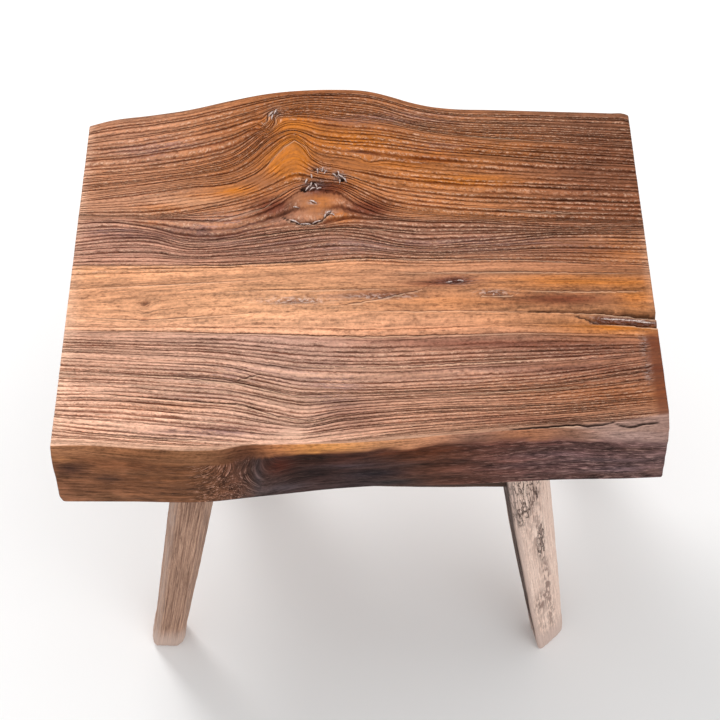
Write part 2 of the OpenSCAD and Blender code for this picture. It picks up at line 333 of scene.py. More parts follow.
# How far from a crack its painted dark line of shade and the painted highlight on its lip are still drawn, in
# widths of the crack, and the depth in mm beyond which a crack is painted dark inside as shade
CRACK_REACH = 5.0
OPEN_DEPTH = 1.0
# Between the two branches of the split the wood has sunk and is torn: the places where that begins along the
# board, at the back branch and at the front branch
SUNK_START = (132, 142)
SUNK_BACK = (-43.5, -45)
SUNK_FRONT = (-51.5, -50)


def ring_relief(x, lane, part, phase):
    """Depth of the brushed grooves, and how strong the groove lines are there."""
    ring = np.round(phase)
    across = np.clip(lane + part - 0.5, 0, len(LANES) - 1)
    depth = np.interp(across, np.arange(len(LANES)), [l[2] for l in LANES])
    darkness = np.interp(across, np.arange(len(LANES)), [l[3] for l in LANES])
    strength = 0.3 + 0.9 * hashed(ring.astype(int), np.zeros(ring.shape, int), 11) ** 1.3
    strength = strength * (0.3 + 1.1 * noise(x / 42, ring * 3.7, 12))
    in_ring = np.abs(phase - ring)
    groove = np.clip(1 - in_ring / 0.24, 0, 1) ** 0.8
    crown = 0.18 * (in_ring * 2) ** 2
    return depth * (strength * groove + 0.25 - crown), strength * darkness


def crack_lines(x, y):
    """How deep and how open the cracks are, how far off the nearest one is, and how strongly it shows."""
    deep, wide_open, near = (np.zeros(x.shape) for _ in range(3))
    nearest_off = np.full(x.shape, CRACK_REACH)
    wandered = y + 0.45 * rough(x / 3.5, x * 0, 45)
    for path, width, depth, opens in CRACKS:
        away, along, side = near_path(x, wandered, path)
        growing = 0.35 + 0.9 * along if opens else np.sin(np.pi * np.clip(along, 0.03, 0.97)) ** 0.4
        cut = np.clip(1 - away / (width * growing + 0.35), 0, 1) ** 0.7
        deep = np.maximum(deep, depth * growing * cut)
        if depth > OPEN_DEPTH:
            wide_open = np.maximum(wide_open, ease(0.1, 0.6, cut))
        off = side * away / (0.75 * width * growing + 0.1)
        nearer = np.abs(off) < np.abs(nearest_off)
        nearest_off = np.where(nearer, off, nearest_off)
        near = np.where(nearer, growing * min(1, 0.6 + 0.5 * depth), near)
    near = near * ease(CRACK_REACH, 0.6 * CRACK_REACH, np.abs(nearest_off))
    return deep, wide_open, nearest_off, near


def top_surface(x, y, lane, part, phase, front_y):
    """Height of the top, measured down from its plane, and the masks that its material reads."""
    smooth = np.clip(spot(x, y, SMOOTH), 0, 1)
    border = ease(*BORDER_X, x + 2.2 * rough(x / 9, y / 2.3, 31)) * ease(*BORDER_Y, y)
    torn = np.clip(spot(x, y, TORN), 0, 1)
    relief, strength = ring_relief(x, lane, part, phase)
    from_edge = ease(0, 4, np.minimum(y - y[:, :1], y[:, -1:] - y))
    calm = (1 - 0.85 * smooth) * (1 - border) * from_edge
    drop = relief * calm
    drop = drop + 0.2 * (rough(x / 60, y / 26, 41) + 1) + 0.1 * (rough(x / 12, phase * 0.7, 42) + 1)
    drop = drop + torn * (0.35 + 0.9 * np.abs(rough(x / 2.2, phase * 1.3, 43))) + 0.25 * border
    holes = np.zeros(drop.shape)
    for hole_x, hole_y, length, width, depth in HOLES:
        away = np.hypot((x - hole_x) / length, (y - hole_y) / width) + 0.35 * rough(x / 1.7, y / 1.2, 44)
        holes = np.maximum(holes, depth * ease(1.15, 0.35, away))
    cracks, open_cracks, crack_off, crack_near = crack_lines(x, y)
    sunk = ease(*SUNK_START, x) * ease(*SUNK_BACK, y) * ease(*SUNK_FRONT, y)
    drop = drop + cracks + holes + sunk * (0.7 + 0.8 * np.abs(rough(x / 6, y / 0.9, 46)))
    bevel, width = curve(BEVEL_DROP, x), curve(BEVEL_WIDTH, x)
    worn = bevel * np.clip(1 - (y - front_y) / width, 0, 1) * ease(*BEVEL_START, x)
    return drop + worn, {
        "cut": strength * calm * (1 - 0.6 * np.clip(worn, 0, 1)),
        "torn": np.clip(torn + 0.6 * sunk, 0, 1),
        # Open cracks and holes are painted nearly black: painted shade inside them
        "gap_shade": np.clip(open_cracks + ease(0.5, 1.4, holes), 0, 1),
        "crack_off": crack_off,
        "crack_near": np.clip(crack_near, 0, 1) * (1 - border),
        "grey": np.clip(spot(x, y, GREY), 0, 1) * (1 - smooth),
        "orange": np.clip(spot(x, y, ORANGE), 0, 1),
        "pale": np.clip(spot(x, y, PALE), 0, 1),
        "dark": np.clip(spot(x, y, DARK) + 0.6 * border + 0.8 * sunk, 0, 1),
        "worn": ease(0.3, 1.2, worn),
        "smooth": np.clip(smooth + border, 0, 1),
    }


# What the material of the seat reads at every point; crack_off is in widths of the crack
SEAT_MASKS = (
    "cut", "torn", "gap_shade", "crack_off", "crack_near", "grey", "orange", "pale", "dark", "worn", "smooth",
    "bark", "bruise", "below",
)
# The tone of the wood from front to back: (place in the lanes, colours at four places from left to right).
# The colours also hold a painted sheen, paler to the left and darker to the right.
# The pale middle of the board begins and ends at clean lines, which each take a whole step of the places.
BAND_LANES = (4.0, 8.0)
TONE_PLACES = (-150, -50, 50, 150)
TONES_WITH_SHEEN = [
    (0.0, [(208, 162, 135), (201, 154, 126), (166, 124, 100), (166, 130, 112)]),
    (1.5, [(226, 176, 149), (202, 158, 136), (190, 139, 112), (156, 106, 79)]),
    (3.0, [(198, 152, 128), (194, 151, 128), (180, 132, 108), (151, 102, 79)]),
    (4.0, [(194, 147, 123), (180, 138, 120), (184, 134, 109), (160, 108, 80)]),
    (5.0, [(218, 163, 130), (216, 160, 127), (196, 137, 104), (166, 117, 88)]),
    (6.5, [(203, 146, 109), (211, 153, 113), (186, 130, 95), (175, 120, 84)]),
    (8.0, [(200, 142, 104), (194, 137, 100), (180, 126, 94), (152, 102, 73)]),
    (9.0, [(202, 144, 105), (200, 142, 104), (172, 118, 87), (158, 104, 74)]),
    (10.0, [(179, 129, 106), (158, 111, 88), (160, 111, 84), (162, 110, 78)]),
    (11.5, [(185, 137, 115), (160, 112, 88), (146, 100, 78), (150, 101, 75)]),
    (14.0, [(179, 128, 100), (160, 100, 62), (172, 111, 70), (130, 80, 54)]),
    (16.0, [(174, 120, 89), (144, 85, 46), (148, 95, 62), (124, 78, 54)]),
    (19.0, [(168, 116, 87), (156, 97, 58), (148, 95, 62), (132, 88, 64)]),
]
# The front live edge from left to right: its pale upper rim, and its tone at the top and at the bottom
RIM_TONES = [
    (-175, (168, 116, 82)), (-125, (140, 92, 62)), (-85, (134, 90, 62)), (-64, (104, 64, 44)),
    (-50, (168, 108, 70)), (-30, (200, 134, 78)), (15, (198, 138, 98)), (45, (184, 128, 98)),
    (62, (146, 104, 86)), (90, (180, 120, 88)), (120, (158, 114, 94)), (138, (168, 134, 122)),
    (175, (164, 132, 122)),
]
EDGE_TONES = [
    (-172, [(136, 88, 58), (136, 90, 66)]), (-130, [(126, 78, 50), (128, 84, 58)]),
    (-95, [(108, 68, 44), (122, 80, 56)]), (-72, [(76, 47, 35), (82, 56, 45)]),
    (-58, [(60, 38, 32), (70, 54, 50)]), (-30, [(90, 46, 33), (76, 57, 55)]),
    (0, [(78, 46, 38), (62, 49, 50)]), (30, [(98, 54, 36), (80, 54, 46)]),
    (60, [(94, 57, 47), (96, 62, 52)]), (105, [(92, 60, 55), (94, 67, 64)]),
    (172, [(106, 80, 78), (104, 80, 78)]),
]
# The same for the back live edge
BACK_RIM_TONES = [(-175, (158, 116, 90)), (175, (146, 104, 80))]
BACK_EDGE_TONES = [(-175, [(128, 86, 60), (104, 70, 52)]), (-20, [(108, 72, 52), (88, 60, 46)]),
                   (175, [(104, 70, 56), (86, 60, 50)])]
# Marks on the front live edge: (x, part of the way down, half length, half height, strength, colour)
EDGE_MARKS = [
    (-165, 0.34, 9, 0.13, 0.9, (66, 42, 34)), (-144, 0.5, 7, 0.08, 0.8, (72, 48, 38)),
    (-170, 0.16, 8, 0.06, 0.7, (176, 120, 78)), (-128, 0.36, 22, 0.05, 0.5, (164, 112, 78)),
    (-150, 0.9, 22, 0.08, 0.5, (150, 104, 74)), (-108, 0.68, 26, 0.1, 0.4, (96, 62, 44)),
    (-66, 0.25, 5, 0.2, 0.6, (56, 38, 32)), (-59, 0.5, 3, 0.5, 0.5, (66, 60, 64)),
    (-46, 0.34, 7, 0.16, 0.9, (86, 38, 26)), (-20, 0.2, 18, 0.08, 0.6, (66, 34, 24)),
    (-28, 0.6, 10, 0.12, 0.7, (40, 28, 30)), (-42, 0.85, 14, 0.1, 0.6, (84, 76, 82)),
    (-10, 0.45, 22, 0.06, 0.6, (78, 66, 72)), (8, 0.68, 18, 0.1, 0.8, (40, 34, 40)),
    (22, 0.5, 12, 0.08, 0.5, (60, 48, 50)), (30, 0.2, 26, 0.08, 0.8, (96, 48, 26)),
    (48, 0.36, 18, 0.07, 0.4, (112, 70, 52)), (20, 0.92, 14, 0.07, 0.6, (44, 48, 52)),
    (80, 0.18, 26, 0.06, 0.6, (80, 46, 38)), (128, 0.2, 20, 0.07, 0.7, (76, 50, 46)),
    (156, 0.3, 14, 0.05, 0.5, (104, 68, 56)), (110, 0.44, 30, 0.05, 0.5, (116, 92, 96)),
    (140, 0.56, 26, 0.05, 0.6, (120, 98, 102)), (92, 0.66, 24, 0.06, 0.4, (106, 80, 84)),
    (168, 0.85, 8, 0.12, 0.5, (126, 92, 82)), (130, 0.93, 30, 0.05, 0.5, (98, 62, 52)),
    (148, 0.76, 16, 0.06, 0.5, (92, 78, 84)),
]
# Where the grain of the front edge bends round the collar: middle x, depth and reach
COLLAR = (-37, 16, 15)


def linear(colour):
    """A colour from the usual 0 to 255 scale as the numbers that a material mixes."""
    c = np.asarray(colour, float) / 255
    return np.where(c <= 0.04045, c / 12.92, ((c + 0.055) / 1.055) ** 2.4)


def top_tone_with_sheen(x, lane_place):
    """The colour of the top, smoothly blended between the tones, with the painted sheen that is paler to the
    left.
    """
    lane_place = lane_place + sum(ease(line - 0.06, line + 0.06, lane_place) for line in BAND_LANES)
    places = [row[0] for row in TONES_WITH_SHEEN]
    columns = []
    for k in range(len(TONE_PLACES)):
        columns.append(curve(list(zip(places, [row[1][k] for row in TONES_WITH_SHEEN])), lane_place))
    x = np.clip(x, TONE_PLACES[0], TONE_PLACES[-1])
    steps = (x - TONE_PLACES[0]) / (TONE_PLACES[1] - TONE_PLACES[0])
    i = np.clip(np.floor(steps).astype(int), 0, len(TONE_PLACES) - 2)
    t = (steps - i)[..., None]
    t = t * t * (3 - 2 * t)
    columns = np.array(columns)
    low = np.take_along_axis(columns, i[None, ..., None], 0)[0]
    high = np.take_along_axis(columns, i[None, ..., None] + 1, 0)[0]
    return low * (1 - t) + high * t


def live_edge(x, down, ripple_seed):
    """How far a live edge stands out at a part of its height, 0 at the top and 1 at the bottom."""
    out = 0.6 * rough(x / 26, down * 5, ripple_seed) + 0.35 * rough(x / 9, down * 14, ripple_seed + 3)
    return out + 0.35 * np.abs(rough(x / 14, down * 17, ripple_seed + 6))


def edge_lines(x, down):
    """The way the front edge's fibres run: along them and across them, in mm."""
    middle_x, middle_down, reach = COLLAR
    depth = down * THICK
    across = np.hypot(x - middle_x, 1.15 * (depth - middle_down))
    along = np.arctan2(depth - middle_down, middle_x - x) * 26
    bent = np.exp(-(((x - middle_x + 28) / reach) ** 2)) * ease(middle_x + 2, middle_x - 7, x)
    return x * (1 - bent) + along * bent, depth * (1 - bent) + across * bent


def front_edge_shape(x, down):
    """The front live edge: ripples along it, a branch collar with curled wood, and a hollow beside it."""
    out = live_edge(x, down, 61)
    along, across = edge_lines(x, down)
    collar = ease(1.1, 0.1, np.abs(x + 68) / 22) * ease(0, 0.12, down)
    out = out + collar * (1.3 + 0.6 * np.sin(across * 1.15 + 1.2 * rough(along / 12, across / 8, 71)))
    out = out - 1.3 * ease(1.1, 0.2, np.hypot((x + 30) / 22, (down - 0.45) / 0.6))
    ledge = 0.6 * np.sin(down * 19 + 2.5 * rough(x / 45, down * 0, 72)) * ease(-5, 40, x)
    return out + ledge


def back_edge_shape(x, down):
    """The back live edge: ripples, and a soft swelling behind the knot."""
    swelling = 0.8 * np.sin(down * 11 + 2 * rough(x / 50, down * 0, 82)) * ease(70, 10, np.abs(x + 20))
    return live_edge(x, down, 81) + swelling - 0.4


def stretch(xs, ys, zs, names, **numbers):
    """One stretch of the seat's loops, with everything that belongs only to the top left at nothing."""
    section = {name: np.zeros(ys.shape) for name in names if name != "tone"}
    section["x"] = np.repeat(xs[:, None], ys.shape[1], 1)
    section["edge_along"] = section["x"]
    section.update(y=ys, z=zs, **numbers)
    return section


def seat_top(xs, front, guides, names):
    """The top of every loop, from the front arris to the back arris, following the grain."""
    lane, part, phase = seat_rows()
    x = np.repeat(xs[:, None], len(lane), 1)
    y = guides[lane].T * (1 - part) + guides[lane + 1].T * part
    wobble = 0.3 * rough(x / 5, phase * 0.9, 21) + 0.5 * rough(x / 38, phase * 0.35, 22)
    sideways = np.minimum(1, np.minimum(y - y[:, :1], y[:, -1:] - y) / 3)
    y = y + wobble * np.clip(sideways, 0, 1)
    y = np.maximum.accumulate(y, axis=1) + np.arange(len(lane)) * 1e-4
    curled = phase + spot(x, y, CURLS)
    drop, masks = top_surface(x, y, lane, part, curled, front[:, None])
    tone = top_tone_with_sheen(x, (lane + part) + 0 * x)
    return stretch(xs, y, THICK - drop, names, phase=curled, tone=tone, **masks), drop, phase[-1]


def edge_body(column, depth, standing, tones, marks):
    """The colours down a live edge below its rim: its tone, its marks, and painted light and shade, lighter
    where the edge stands out and darker in its hollows.
    """
    both = curve(tones, column[:, 0])[:, None]
    body = both[:, :, 0] * (1 - depth[..., None]) + both[:, :, 1] * depth[..., None]
    for mark_x, mark_down, length, height, strength, colour in marks:
        away = ((column - mark_x) / length) ** 2 + ((depth - mark_down) / height) ** 2
        part_of = (strength * np.exp(-away))[..., None]
        body = body * (1 - part_of) + np.array(colour) * part_of
    # Painted light and shade from the edge's own relief: brighter where it stands out, darker in its hollows
    return body * np.clip(1 + 0.22 * standing, 0.6, 1.5)[..., None]


def seat_edge(xs, names, edge, low_edge, sign, start, rounding, shape_of, rims, tones, marks, first_phase):
    """One live edge from its top arris down to its bottom arris; sign is -1 in front and 1 at the back."""
    arris_y = edge[:, None] + sign * rounding[:, None] * (np.sin(ARRIS_ANGLES) - 1)
    arris_z = start[:, None] + rounding[:, None] * np.cos(ARRIS_ANGLES)
    down = (np.arange(FACE_ROWS) / (FACE_ROWS - 1)) ** 0.9
    column = xs[:, None] + 0 * down
    level = start[:, None] * (1 - down) + LOW_ROUND * down
    standing = ease(0, 0.08, down) * ease(1, 0.93, down) * shape_of(column, down + 0 * column)
    out = edge[:, None] * (1 - down) + low_edge[:, None] * down + sign * standing
    low_y = low_edge[:, None] + sign * LOW_ROUND * (np.cos(ARRIS_ANGLES) - 1)
    low_z = LOW_ROUND * (1 - np.sin(ARRIS_ANGLES)) + 0 * low_y
    depth = np.hstack([0 * arris_y, down + 0 * column, 1 + 0 * low_y])
    column = xs[:, None] + 0 * depth
    rim = ease(0.04, 0.13, depth + 0.07 * rough(column / 13, depth * 4, 75))
    body = edge_body(column, depth, np.hstack([0 * arris_y, standing, 0 * low_y]), tones, marks)
    along, across = edge_lines(column, depth) if sign < 0 else (column, depth * THICK)
    going = np.hstack([0 * arris_y + [0.4, 0.8, 1.2, 1.6], 2 + depth[:, 4:] * THICK / RING_WIDTH])
    flecked = (0.9 * ease(24, 8, np.abs(column + 80)) + 0.6 * ease(40, 90, column)) * (sign < 0) + 0.12
    return stretch(
        xs, np.hstack([arris_y, out, low_y]), np.hstack([arris_z, level, low_z]), names,
        tone=curve(rims, xs)[:, None] * (1 - rim[..., None]) + body * rim[..., None],
        bark=rim, bruise=flecked * rim, phase=first_phase + sign * going,
        edge_along=along, edge_across=across,
    )


def seat_loops():
    """The seat as closed loops across the grain, one for every column: points, masks and colours."""
    xs = seat_columns()
    names = ["x", "y", "z", "tone", "phase", *SEAT_MASKS, "edge_along", "edge_across"]
    guides = np.array([curve(line, xs) for line in GRAIN])
    front_round, back_round = curve(TOP_ROUND, xs), BACK_ROUND + 0 * xs
    front, back = guides[0] + front_round, guides[-1] - back_round
    guides[0] = front + front_round
    guides[-1] = back - back_round
    top, drop, last_phase = seat_top(xs, front, guides, names)
    bevel = curve(BEVEL_DROP, xs) * ease(*BEVEL_START, xs)
    foot = curve(FRONT_FOOT, xs)
    front_start = THICK - bevel - drop[:, 0] * 0.5 - front_round
    front_face = seat_edge(xs, names, front, foot, -1, front_start, front_round, front_edge_shape,
                           RIM_TONES, EDGE_TONES, EDGE_MARKS, 0.0)
    back_low = back - 2.5 + 1.5 * rough(xs / 70, 0 * xs, 91)
    back_start = THICK - drop[:, -1] * 0.5 - back_round
    back_face = seat_edge(xs, names, back, back_low, 1, back_start, back_round, back_edge_shape,
                          BACK_RIM_TONES, BACK_EDGE_TONES, [], last_phase)
    across = np.arange(1, BELOW_ROWS + 1) / (BELOW_ROWS + 1)
    under_y = (back_low - LOW_ROUND)[:, None] * (1 - across) + (foot + LOW_ROUND)[:, None] * across
    under_z = 0.25 * (rough(xs[:, None] / 40, under_y / 30, 95) + 1)
    under_tone = np.zeros(under_y.shape + (3,)) + UNDER_TONE
    under = stretch(xs, under_y, under_z, names,
                    tone=under_tone, phase=under_y / RING_WIDTH, below=1 + 0 * under_y)
    sections = [top, back_face, under, {name: values[:, ::-1] for name, values in front_face.items()}]
    return {name: np.concatenate([section[name] for section in sections], axis=1) for name in names}


def round_ends(loops):
    """Pulls the outermost loops in, so the sawn ends meet the other faces in a worn edge."""
    x, y, z = loops["x"], loops["y"], loops["z"]
    from_end = HALF - np.abs(x)
    reach = np.maximum(END_ROUND - from_end, 0)
    inward = END_ROUND - np.sqrt(END_ROUND**2 - reach**2)
    worn = inward * (0.8 + 0.5 * rough(y / 14, z / 9, 97))
    middle_y = (y.min(axis=1) + y.max(axis=1))[:, None] / 2
    reach_y = (y.max(axis=1) - y.min(axis=1))[:, None] / 2
    loops["y"] = middle_y + (y - middle_y) * (1 - worn / reach_y)
    loops["z"] = THICK / 2 + (z - THICK / 2) * (1 - worn / (THICK / 2))
    # The lower front corner at the left-hand end is knocked off
    corner_round = CORNER_ROUND - np.sqrt(CORNER_ROUND**2 - np.clip(CORNER_ROUND - z, 0, CORNER_ROUND) ** 2)
    knocked = (1.5 * ease(36, 6, z) + corner_round) * ease(-125, -148, y) * ease(12, 0, HALF + x)
    loops["x"] = x + knocked
    return loops


def close_ends(loops):
    """Closes the board: inside each end loop comes one more, squeezed to a line across the end's middle."""
    closed = {name: np.concatenate([values[:1], values, values[-1:]]) for name, values in loops.items()}
    closed["x"][0], closed["x"][-1] = -HALF, HALF
    closed["z"][0] = closed["z"][-1] = THICK / 2
    for end in (0, -1):
        y, z = loops["y"][end], loops["z"][end]
        sides = y[np.abs(z - THICK / 2) < SPINE_REACH * THICK]
        front, back = sides[sides < 0].max(), sides[sides > 0].min()
        closed["y"][end] = np.clip(y, front + SPINE_SHORT, back - SPINE_SHORT)
    return closed


def new_mesh(name, points, faces, materials, face_slots=None):
    """A mesh piece from points in metres, with smooth shading."""
    mesh = bpy.data.meshes.new(name)
    mesh.from_pydata(points.tolist(), [], faces)
    piece = place_in_scene(name, mesh)
    for material in materials:
        mesh.materials.append(material)
    if face_slots is not None:
        mesh.polygons.foreach_set("material_index", np.asarray(face_slots, np.int32))
    mesh.polygons.foreach_set("use_smooth", np.ones(len(faces), bool))
    mesh.update()
    return piece


def write(piece, name, kind, field, values):
    """Stores a value for every point, for the materials to read."""
    layer = piece.data.attributes.new(name, kind, "POINT")
    layer.data.foreach_set(field, np.asarray(values, np.float32).ravel())


def write_number(piece, name, values):
    write(piece, name, "FLOAT", "value", values)


def write_colour(piece, name, values):
    colours = linear(values.reshape(-1, 3))
    write(piece, name, "FLOAT_COLOR", "color", np.hstack([colours, np.ones((len(colours), 1))]))


def write_vector(piece, name, *values):
    write(piece, name, "FLOAT_VECTOR", "vector", np.stack(np.broadcast_arrays(*values), -1))


def tube_faces(columns, around, turned=False):
    """Quads between closed loops, and a face over each end; turned where the loops run the other way."""
    first = np.arange(around)
    following = np.roll(first, -1)
    faces = []
    for c in range(columns - 1):
        a, b = c * around, (c + 1) * around
        faces += np.stack([a + first, b + first, b + following, a + following], 1).tolist()
    caps = [first.tolist(), ((columns - 1) * around + first[::-1]).tolist()]
    if turned:
        faces, caps = ([face[::-1] for face in group] for group in (faces, caps))
    return faces, caps


def build_seat(wood, end_wood):
    loops = close_ends(round_ends(seat_loops()))
    columns, around = loops["x"].shape
    points = np.stack([loops["x"], loops["y"], loops["z"] - THICK / 2], -1).reshape(-1, 3) * MM
    points += np.array(SEAT_MIDDLE)
    faces, _ = tube_faces(columns, around)
    slots = [1] * around + [0] * (len(faces) - 2 * around) + [1] * around
    piece = new_mesh("seat_board", points, faces, [wood, end_wood], slots)
    for name in SEAT_MASKS:
        write_number(piece, name, loops[name])
    write_colour(piece, "tone", loops["tone"])
    write_vector(piece, "grain", loops["x"], loops["phase"], loops["z"])
    write_vector(piece, "edge", loops["edge_along"], loops["edge_across"], 0)
    # The sawn ends meet the other faces in a sharp edge
    mesh = piece.data
    joined = np.empty(len(mesh.edges) * 2, np.int32)
    mesh.edges.foreach_get("vertices", joined)
    column = joined.reshape(-1, 2) // around
    sharp = (column[:, 0] == column[:, 1]) & ((column[:, 0] == 1) | (column[:, 0] == columns - 2))
    mesh.edges.foreach_set("use_edge_sharp", sharp)
    return piece


# Torn splinters round the knots and in the split: place, length, direction in degrees and rise, in mm
SPLINTERS = [
    (-33, 61, 5.5, 60, 0.9), (-30, 60, 4.5, 35, 1.0), (-28, 62.5, 5, 110, 0.9), (-31, 64, 4, 80, 0.7),
    (-26, 60.5, 3.5, 20, 0.7), (-34, 67, 5, 75, 0.8), (-31, 71, 4.5, 100, 0.8), (-27, 76, 4.5, 95, 0.8),
    (-24, 77, 4, 80, 0.9), (-22, 75, 3.5, 60, 0.7), (-16, 72, 4.5, 130, 0.9), (-14, 74, 4, 105, 1.0),
    (-12, 71, 5, 140, 1.0), (-10, 68, 4.5, 120, 0.9), (-13, 67, 3.5, 90, 0.7), (-29.5, 48.5, 6, 150, 0.8),
    (-40, 44, 4, 165, 0.5), (-20, 39.5, 4.5, 40, 0.8), (-17.5, 38, 4, 150, 0.8), (-22, 37, 3.5, 75, 0.6),
    (-41, 32, 7, 155, 0.7), (-34, 29.6, 7, 178, 0.7), (-27, 31.5, 6, 25, 0.6), (-55, 130, 5, 70, 0.8),
    (-58, 128, 6, 60, 0.7), (-57, 125, 5, 80, 0.5), (53, -17.5, 4, 15, 0.5), (60, -16.5, 4, 170, 0.5),
    (149, -46.5, 14, 178, 0.8), (160, -47.5, 16, 176, 0.9), (168, -49, 12, 175, 0.7),
]
SPLINTER_SIDES = 5
SPLINTER_STEPS = 6


def build_splinters(wood):
    """Thin curved shards that lie on the torn places of the seat."""
    points, faces = [], []
    for number, (x, y, length, turn, rise) in enumerate(SPLINTERS):
        direction = np.radians(turn)
        ahead = np.array([np.cos(direction), np.sin(direction)])
        aside = np.array([-ahead[1], ahead[0]])
        bend = (hashed(number, 1, 7) - 0.5) * 0.3 * length
        first, last = len(points), len(points) + SPLINTER_STEPS * SPLINTER_SIDES
        for k in range(SPLINTER_STEPS + 1):
            t = k / SPLINTER_STEPS
            middle = np.array([x, y]) + ahead * (t - 0.5) * length + aside * bend * (t - t * t) * 2
            size = 0.1 + 0.46 * np.sin(np.pi * (0.08 + 0.84 * t)) * (0.6 + 0.6 * hashed(number, k, 8))
            lift = rise * np.sin(np.pi * t) - 0.75 + 0.25 * hashed(number, k, 9)
            for j in range(SPLINTER_SIDES):
                angle = 2 * np.pi * j / SPLINTER_SIDES + number
                height = THICK / 2 + min(lift + 0.6 * size * np.sin(angle), 0.35)
                points.append((*(middle + aside * (size * np.cos(angle))), height))
        for start in range(first, last, SPLINTER_SIDES):
            for j in range(SPLINTER_SIDES):
                a, b = start + j, start + (j + 1) % SPLINTER_SIDES
                faces.append([a, b, b + SPLINTER_SIDES, a + SPLINTER_SIDES])
        faces.append(list(range(first, first + SPLINTER_SIDES))[::-1])
        faces.append(list(range(last, last + SPLINTER_SIDES)))
    points = np.array(points) * MM + np.array(SEAT_MIDDLE)
    return new_mesh("seat_splinters", points, faces, [wood])


# ---------------------------------------------------------------- legs, rails and pegs

# A leg leans outwards by so many degrees both ways; its widths and its tenon are in mm
LEG_LEAN = 9.6
LEG_FOOT = 20.0
LEG_TOP = 30.0
TENON_LENGTH = 28.0
TENON_RADIUS = 10.0
# Points round a leg, and rows above its worn foot
LEG_AROUND = 88
LEG_ROWS = 104
# Rows at the worn foot, by their height, and how far a leg runs up into the seat's underside, in mm
FOOT_ROWS = np.array([0, 0.35, 1.0, 2.0])
FIRST_ROW = 3.2
LEG_OVERLAP = 0.6
# How far the skin of a leg lies inside its section, so that its ridges come up to it
LEG_SHRINK = 0.25
# Sections of a leg one unit wide, the front leg on the left seen from above
HEWN = [
    (-0.5, -0.4), (-0.4, -0.5), (0.34, -0.5), (0.5, -0.34), (0.5, 0.42), (0.42, 0.5), (-0.42, 0.5),
    (-0.5, 0.42),
]
RIVEN = [
    (0.3, -0.6), (0.365, -0.57), (0.575, 0.44), (0.48, 0.52), (-0.42, 0.52), (-0.52, 0.42), (-0.46, 0.14),
    (-0.26, -0.14), (0.06, -0.42),
]
# Marks on the riven leg, (height, direction seen from above in degrees, half height, half width, strength):
# stains, dark scratches, and painted shade on the side face that looks inwards
RIVEN_STAINS = [
    (128, 290, 26, 50, 0.6), (96, 300, 18, 30, 0.9), (70, 316, 10, 26, 1), (58, 322, 8, 24, 1),
    (48, 296, 8, 34, 1), (42, 262, 9, 20, 0.9), (34, 325, 12, 24, 0.9), (19, 290, 12, 60, 0.7),
]
RIVEN_SCRATCHES = [
    (146, 262, 16, 50, 1), (148, 310, 14, 40, 1), (128, 252, 8, 16, 0.9), (104, 318, 9, 24, 1),
    (90, 304, 11, 26, 1.2),
]
RIVEN_SHADED_SIDE = [(100, 190, 400, 50, 3)]
RIVEN_CRACK = [(133, 238), (130, 262), (133, 285), (141, 300), (150, 306)]
# The width on the riven leg's face that a degree spans, in mm
DEGREE_WIDTH = 0.35
# How a leg was worked and worn, in mm: how far it swells in the middle, how high its ridges stand, how deep
# the blade's hollows are, how far its corners are worn and chipped, how far its foot is worn, and how far the
# fibres spread there
Work = namedtuple("Work", "section swell ridge hollow corner chip foot spread")
HEWN_WORK = Work(HEWN, 0, 0.34, 0.45, 0.4, 0.9, 1.7, 0.7)
RIVEN_WORK = Work(RIVEN, 2.2, 0.2, 0.3, 0.15, 0.4, 0.9, 0.35)


def resample(section, count):
    """Evenly spaced points round a closed outline, with its corners slightly rounded."""
    corners = np.array(section + section[:1], float)
    passed = np.concatenate([[0], np.cumsum(np.hypot(*(corners[1:] - corners[:-1]).T))])
    at = np.arange(count) / count * passed[-1]
    points = np.stack([np.interp(at, passed, corners[:, 0]), np.interp(at, passed, corners[:, 1])], 1)
    return (np.roll(points, 1, 0) + 2 * points + np.roll(points, -1, 0)) / 4, passed[-1]


def leg_place(node, section):
    """The side and row of a leg, and the middle of its foot, in mm, read from the CAD leg."""
    low, high = (Vector(corner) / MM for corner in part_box(node))
    side = -1 if low.x + high.x < 0 else 1
    row = -1 if "front" in node else 1
    outward_x = max(-p[0] for p in section) * LEG_FOOT
    outward_y = max(-p[1] for p in section) * LEG_FOOT
    foot_x = (low.x if side < 0 else high.x) - side * outward_x
    foot_y = (low.y if row < 0 else high.y) - row * outward_y
    return side, row, foot_x, foot_y


def leg_relief(z, around, outline, girth, work, seed):
    """How far the skin of a leg stands out, where its corners are, and the place round it in mm."""
    arc = around * girth * 25 + 0 * z
    turn = around * 2 * np.pi

    def looped(scale_around, scale_up, at):
        """Roughness that joins up round the leg."""
        across = 7 * scale_around
        return rough(z * scale_up + across * np.cos(turn), across * np.sin(turn) + 0 * z, at)

    seam = ease(0, 0.03, around) * ease(1, 0.97, around)
    out = 0.5 * looped(0.5, 1 / 46, seed + 1) + 0.28 * looped(1.4, 1 / 17, seed + 2)
    out = out + seam * work.ridge * rough(z / 70, arc / 1.15, seed)
    # Shallow hollows left by the blade, and small chips out of the corners
    out = out - work.hollow * ease(0.1, 0.6, looped(0.9, 1 / 24, seed + 5))
    corner = ease(0.56, 0.68, np.hypot(outline[:, 0], outline[:, 1])[None, :])
    chipped = ease(0.1, 0.7, rough(z / 9, turn * 3, seed + 8))
    out = out - corner * work.corner - corner * work.chip * chipped
    # The foot is cut off, with a worn edge, and the end fibres are spread a little
    out = out - work.foot * (1 - np.clip(z / 2.2, 0, 1)) ** 2
    out = out + work.spread * ease(15, 9, z) * ease(0, 4, z)
    return out, corner, arc


def leg_marks(z, degrees, spots, most=1):
    """Soft patches on a leg, each (height, direction, half height, half width, strength)."""
    total = np.zeros(z.shape)
    for height, at, tall, wide, strength in spots:
        off = (degrees - at + 180) % 360 - 180
        total += strength * np.exp(-(((z - height) / tall) ** 2) - (off / wide) ** 2)
    return np.clip(total, 0, most)


